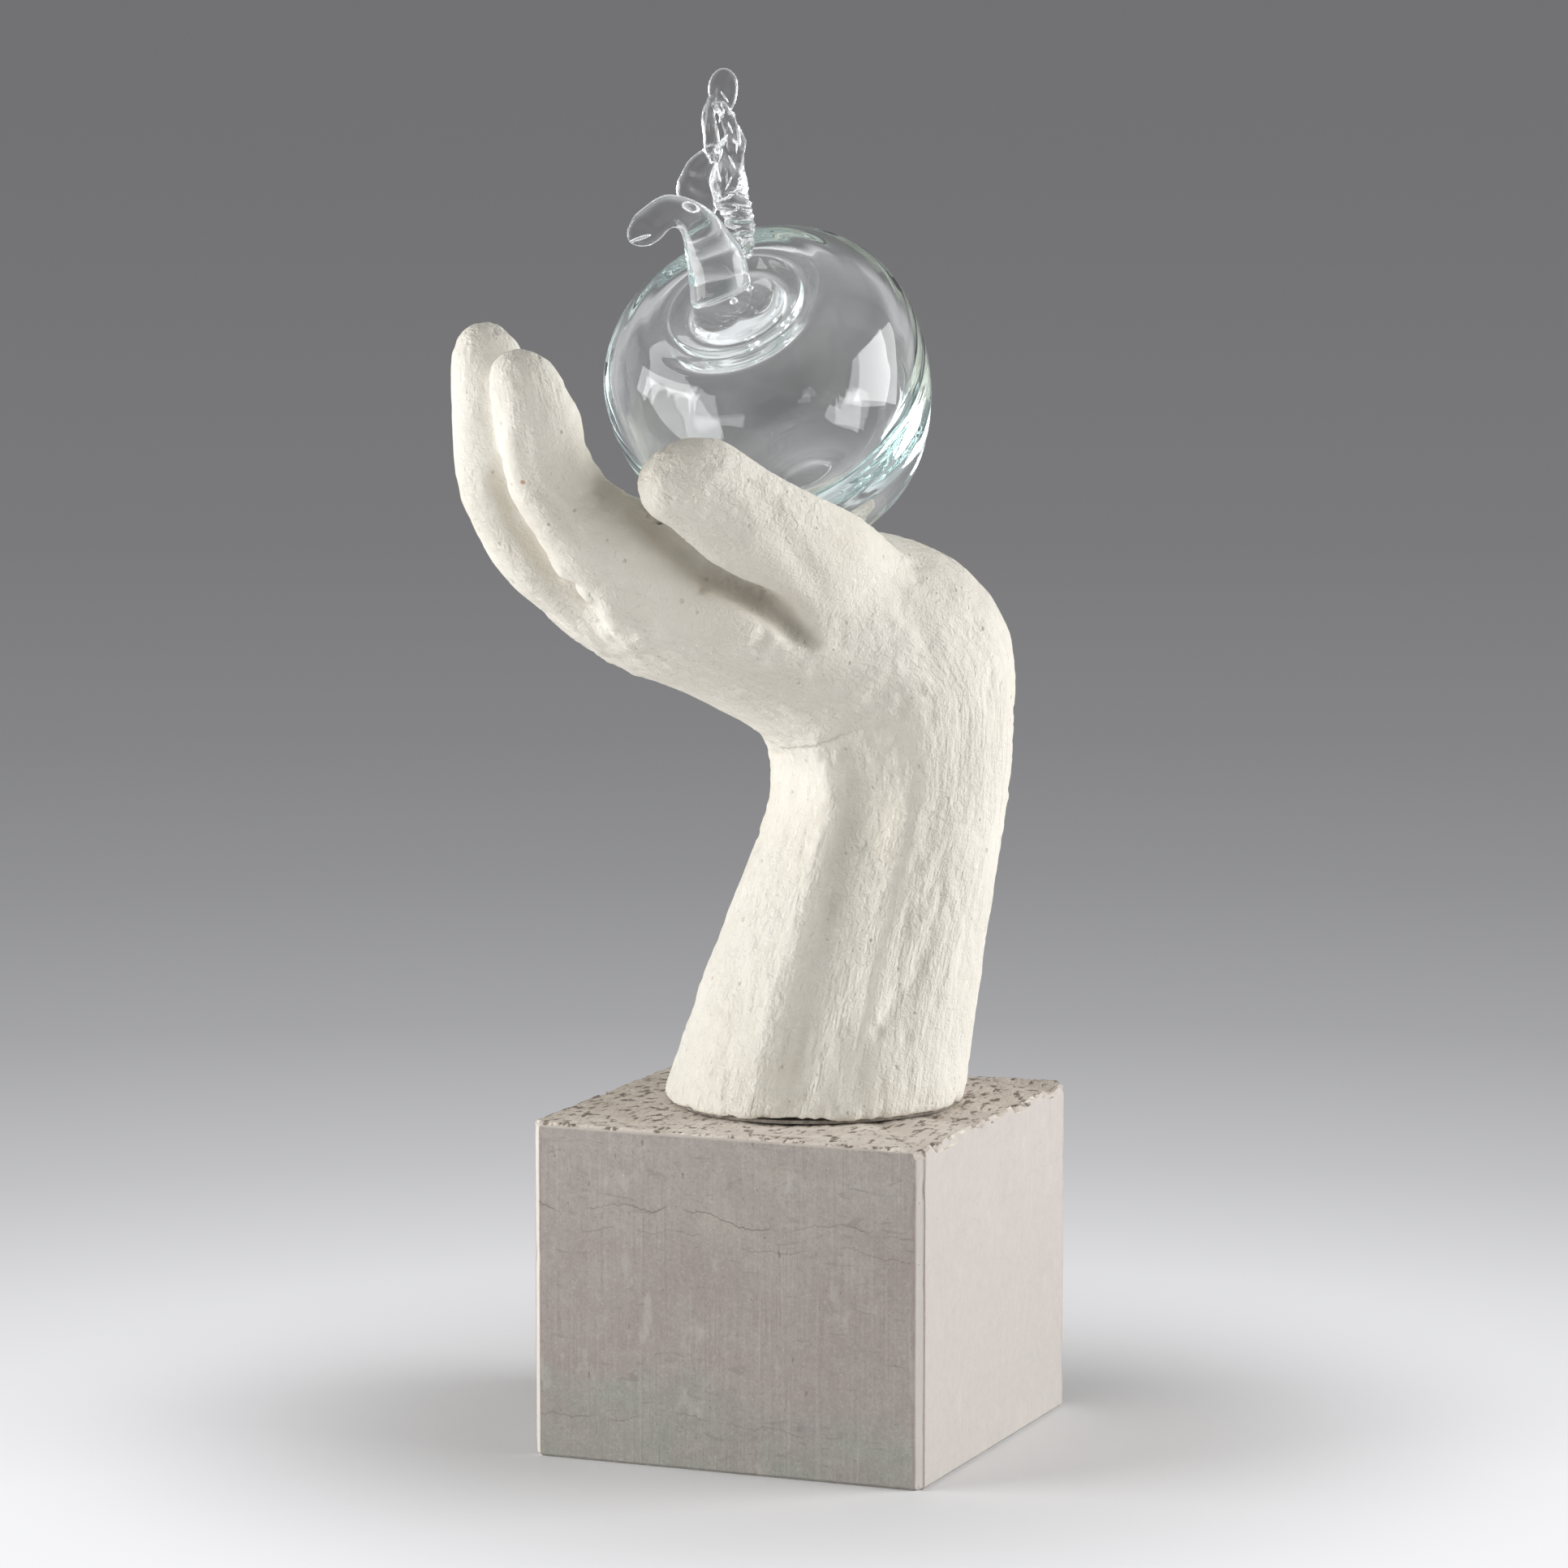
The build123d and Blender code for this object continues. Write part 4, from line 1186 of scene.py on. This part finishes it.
# %% Limestone: gloss and relief
polish = drifting(tree, here, 320.0)
pores = dotted(tree, here, 520.0, 0.12, 0.16)
roughness = ease(tree, piled(tree, polish, (top, 0.6)), 0.0, 1.6, 0.42, 0.9)
tree.links.new(roughness, shader.inputs["Roughness"])
height = piled(tree, 0.0, (saw, 0.45), (pores, -0.5), (polish, 0.15), (grains, 0.30))
height = piled(tree, height, (sums(tree, "MULTIPLY", pit, top), -3.0))
emboss(tree, shader, height, 0.8, 0.35 * MM)
block.data.materials.append(limestone)
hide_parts("stone_base")
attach(block, "sculpture")
print("relief on", block.name)

# %% [markdown]
# ## Mortar, plaster and steel
# These pieces of the CAD model stay as they are and are almost hidden, but each still has its own
# finish, two tones of it mixed by a fine drift.

# %% Materials: hidden pieces
# roughness, metallic, scale of the grit, dark and pale colour, the pieces that have it
hidden_finishes = {
    "mortar": (0.9, 0.0, 700.0, (0.16, 0.14, 0.12), (0.34, 0.31, 0.27), ["bedding_mortar"]),
    "plaster": (0.9, 0.0, 300.0, (0.62, 0.60, 0.56), (0.74, 0.72, 0.68), ["rod_plug"]),
    "zinc_steel": (0.35, 1.0, 260.0, (0.50, 0.51, 0.53), (0.66, 0.67, 0.69),
                   ["fixing_rod", "base_washer", "base_nut"]),
}
for name, (roughness, metallic, scale, dark, pale, pieces) in hidden_finishes.items():
    material, tree, shader = new_material(name, Roughness=roughness, Metallic=metallic)
    grit = drifting(tree, place_on(tree), scale)
    tree.links.new(tint(tree, grit, dark, pale), shader.inputs["Base Color"])
    if metallic:
        tree.links.new(ease(tree, grit, 0.0, 1.0, 0.28, 0.5), shader.inputs["Roughness"])
    for piece in pieces:
        nodes[piece].data.materials.clear()
        nodes[piece].data.materials.append(material)
    print("material", name, "on", *pieces)

# %% [markdown]
# ## What is seen and what gives light
# In the picture the floor and the room are plain greys, but if they gave as much light as they show,
# the shading of the clay would wash out. So two shaders are mixed by the kind of ray: the camera and
# the glass see a shade of grey as it is written, and all other light meets the surface itself.


# %% Helpers: what is seen
def seen_only(tree, lit, shown, share=1.0):
    """Shows one shader to the camera, in mirrors and through glass, and leaves the other as light."""
    rays = place(tree, "LightPath").outputs
    seen = sums(tree, "ADD", rays["Is Camera Ray"], rays["Is Glossy Ray"])
    seen = sums(tree, "MINIMUM", sums(tree, "ADD", seen, rays["Is Transmission Ray"]), 1.0)
    seen = sums(tree, "MULTIPLY", seen, share)
    return place(tree, "MixShader", None, (seen, lit.outputs[0], shown.outputs[0])).outputs[0]


def along_view(tree, vector):
    """1 where a level direction lies along the camera's view, and 0 across it."""
    level_way = vectors(tree, "NORMALIZE", vector)[0]
    return sums(tree, "ABSOLUTE", vectors(tree, "DOT_PRODUCT", level_way, (away.x, away.y, 0))["Value"])


# %% [markdown]
# ## The floor
# The object stands on a pale floor that darkens away from it: round the object a painted pool of
# light, which the camera and the glass see. Only near the block does it take the lamps' light and
# the block's shadow. To both sides, out of the picture, it is an even middle grey, which the rim of
# the glass gathers.

# %% Floor: disc and shade
floor_radius = 60
bpy.ops.mesh.primitive_circle_add(
    vertices=96, radius=floor_radius, fill_type="NGON", location=(0, 0, 0))
floor = bpy.context.object
floor.name = "floor"
light_pool_middle = (0.13, -0.30, 0)
# painted pool of light: d / (d + 1), d the distance from its middle in metres, and the grey there
light_pool_greys = {
    0.0: 0.96, 0.25: 0.92, 0.35: 0.74, 0.42: 0.54, 0.50: 0.375,
    0.58: 0.285, 0.65: 0.235, 0.75: 0.195, 0.90: 0.172, 1.0: 0.165,
}
floor_pale, tree, shader = new_material(
    "floor_pale", Base_Color=(0.90, 0.90, 0.91, 1), Roughness=0.9, Specular_IOR_Level=0.1)
here = place_on(tree)
# the grey of the painted pool of light falls with the distance from its middle
out = vectors(tree, "LENGTH", vectors(tree, "SUBTRACT", here, light_pool_middle)[0])["Value"]
ramp = place(tree, "ValToRGB", None, (sums(tree, "DIVIDE", out, sums(tree, "ADD", out, 1.0)),))
elements = ramp.color_ramp.elements
for at in sorted(light_pool_greys)[1:-1]:
    elements.new(at)
for stop, grey in zip(elements, light_pool_greys.values()):
    stop.color = (grey, grey, grey * 1.03, 1)
from_viewer = vectors(tree, "SUBTRACT", here, (camera.location.x, camera.location.y, 0))[0]
sideways = ease(tree, along_view(tree, from_viewer), 0.930, 0.988, 1.0, 0.0)
shade = coat(tree, ramp.outputs[0], sideways, 0.9, (0.50, 0.50, 0.51))
far = ease(tree, vectors(tree, "LENGTH", here)["Value"], 0.07, 0.24)
glow = place(tree, "Emission", Color=shade, Strength=1.0)
tree.links.new(seen_only(tree, shader, glow, far), tree.nodes["Material Output"].inputs["Surface"])
floor.data.materials.append(floor_pale)
print("greys", [(round(stop.position, 2), round(stop.color[0], 3)) for stop in elements])

# %% [markdown]
# ## The room around it
# The world lights the object faintly and evenly. What is seen of it, straight or through the
# glass, is grey: dark ahead and behind, paler to both sides and overhead.

# %% World
fill_colour, fill_strength = (1.0, 0.97, 0.92, 1), 0.10
dark_grey, side_grey, overhead_grey = 0.168, 0.50, 0.85
world = bpy.data.worlds.new("studio")
bpy.context.scene.world = world
world.use_nodes = True
tree = world.node_tree
tree.nodes.clear()
toward = place(tree, "TexCoord").outputs["Generated"]
up = place(tree, "SeparateXYZ", Vector=toward).outputs["Z"]
level = vectors(tree, "MULTIPLY", toward, (1, 1, 0))[0]
grey = ease(tree, along_view(tree, level), 0.880, 0.980, side_grey, dark_grey)
grey = sums(tree, "MAXIMUM", grey, ease(tree, up, 0.50, 0.85, dark_grey, overhead_grey))
sky = place(tree, "CombineColor", Red=grey, Green=grey, Blue=sums(tree, "MULTIPLY", grey, 1.02))
fill = place(tree, "Background", Color=fill_colour, Strength=fill_strength)
shown = place(tree, "Background", Color=sky.outputs[0], Strength=1.0)
place(tree, "OutputWorld", Surface=seen_only(tree, fill, shown))
print("world", world.name)

# %% [markdown]
# ## Lamps
# Two tall soft boxes, one at each side, leave the middle of the forearm in soft shade. The glass
# mirrors them brighter than they light the clay, which draws its bright patches. A weak lamp
# overhead adds a little to the tops, and a low one, which no glass mirrors, lifts the wrist.

# %% Lamps
lit_point = Vector((0, 0, 0.20))


def soft_box(name, turn, lift, distance, width, height, watts, mirrored_more=2.6):
    """A soft box seen from the object at an angle round from the camera, aimed at the hand."""
    way = way_out(camera_bearing + math.radians(turn), math.radians(lift))
    bpy.ops.object.light_add(type="AREA", location=lit_point + way * distance)
    lamp = bpy.context.object
    lamp.name = name
    lamp.rotation_euler = way.to_track_quat("Z", "Y").to_euler()
    lamp.data.shape = "RECTANGLE"
    lamp.data.size, lamp.data.size_y = width, height
    lamp.data.energy = watts
    lamp.data.use_nodes = True
    tree = lamp.data.node_tree
    rays = place(tree, "LightPath").outputs
    mirrored = sums(tree, "MAXIMUM", rays["Is Glossy Ray"], rays["Is Transmission Ray"])
    strength = piled(tree, 1.0, (mirrored, mirrored_more))
    tree.links.new(strength, tree.nodes["Emission"].inputs["Strength"])
    print(name, watts, "W")


# degrees round from the camera and up, then metres away, wide and high, then watts
soft_box("lamp_left", -78, 4, 1.15, 0.90, 1.20, 18)
soft_box("lamp_right", 85, 6, 1.15, 0.95, 1.20, 19)
soft_box("lamp_top", 10, 70, 1.40, 0.80, 0.80, 0.4)
soft_box("lamp_low", -38, -3, 1.00, 0.60, 0.28, 1.1, mirrored_more=-1.0)

# %% [markdown]
# ## How often light may bounce
# Light that enters the thick wall of the apple near its rim is thrown to and fro inside the glass
# many times before it comes out. Blender stops counting after a few bounces and leaves those places
# black, so the limits for glass are raised.

# %% Bounces
cycles = bpy.context.scene.cycles
cycles.max_bounces, cycles.transmission_bounces, cycles.glossy_bounces = 48, 40, 32
print("bounces", cycles.max_bounces)
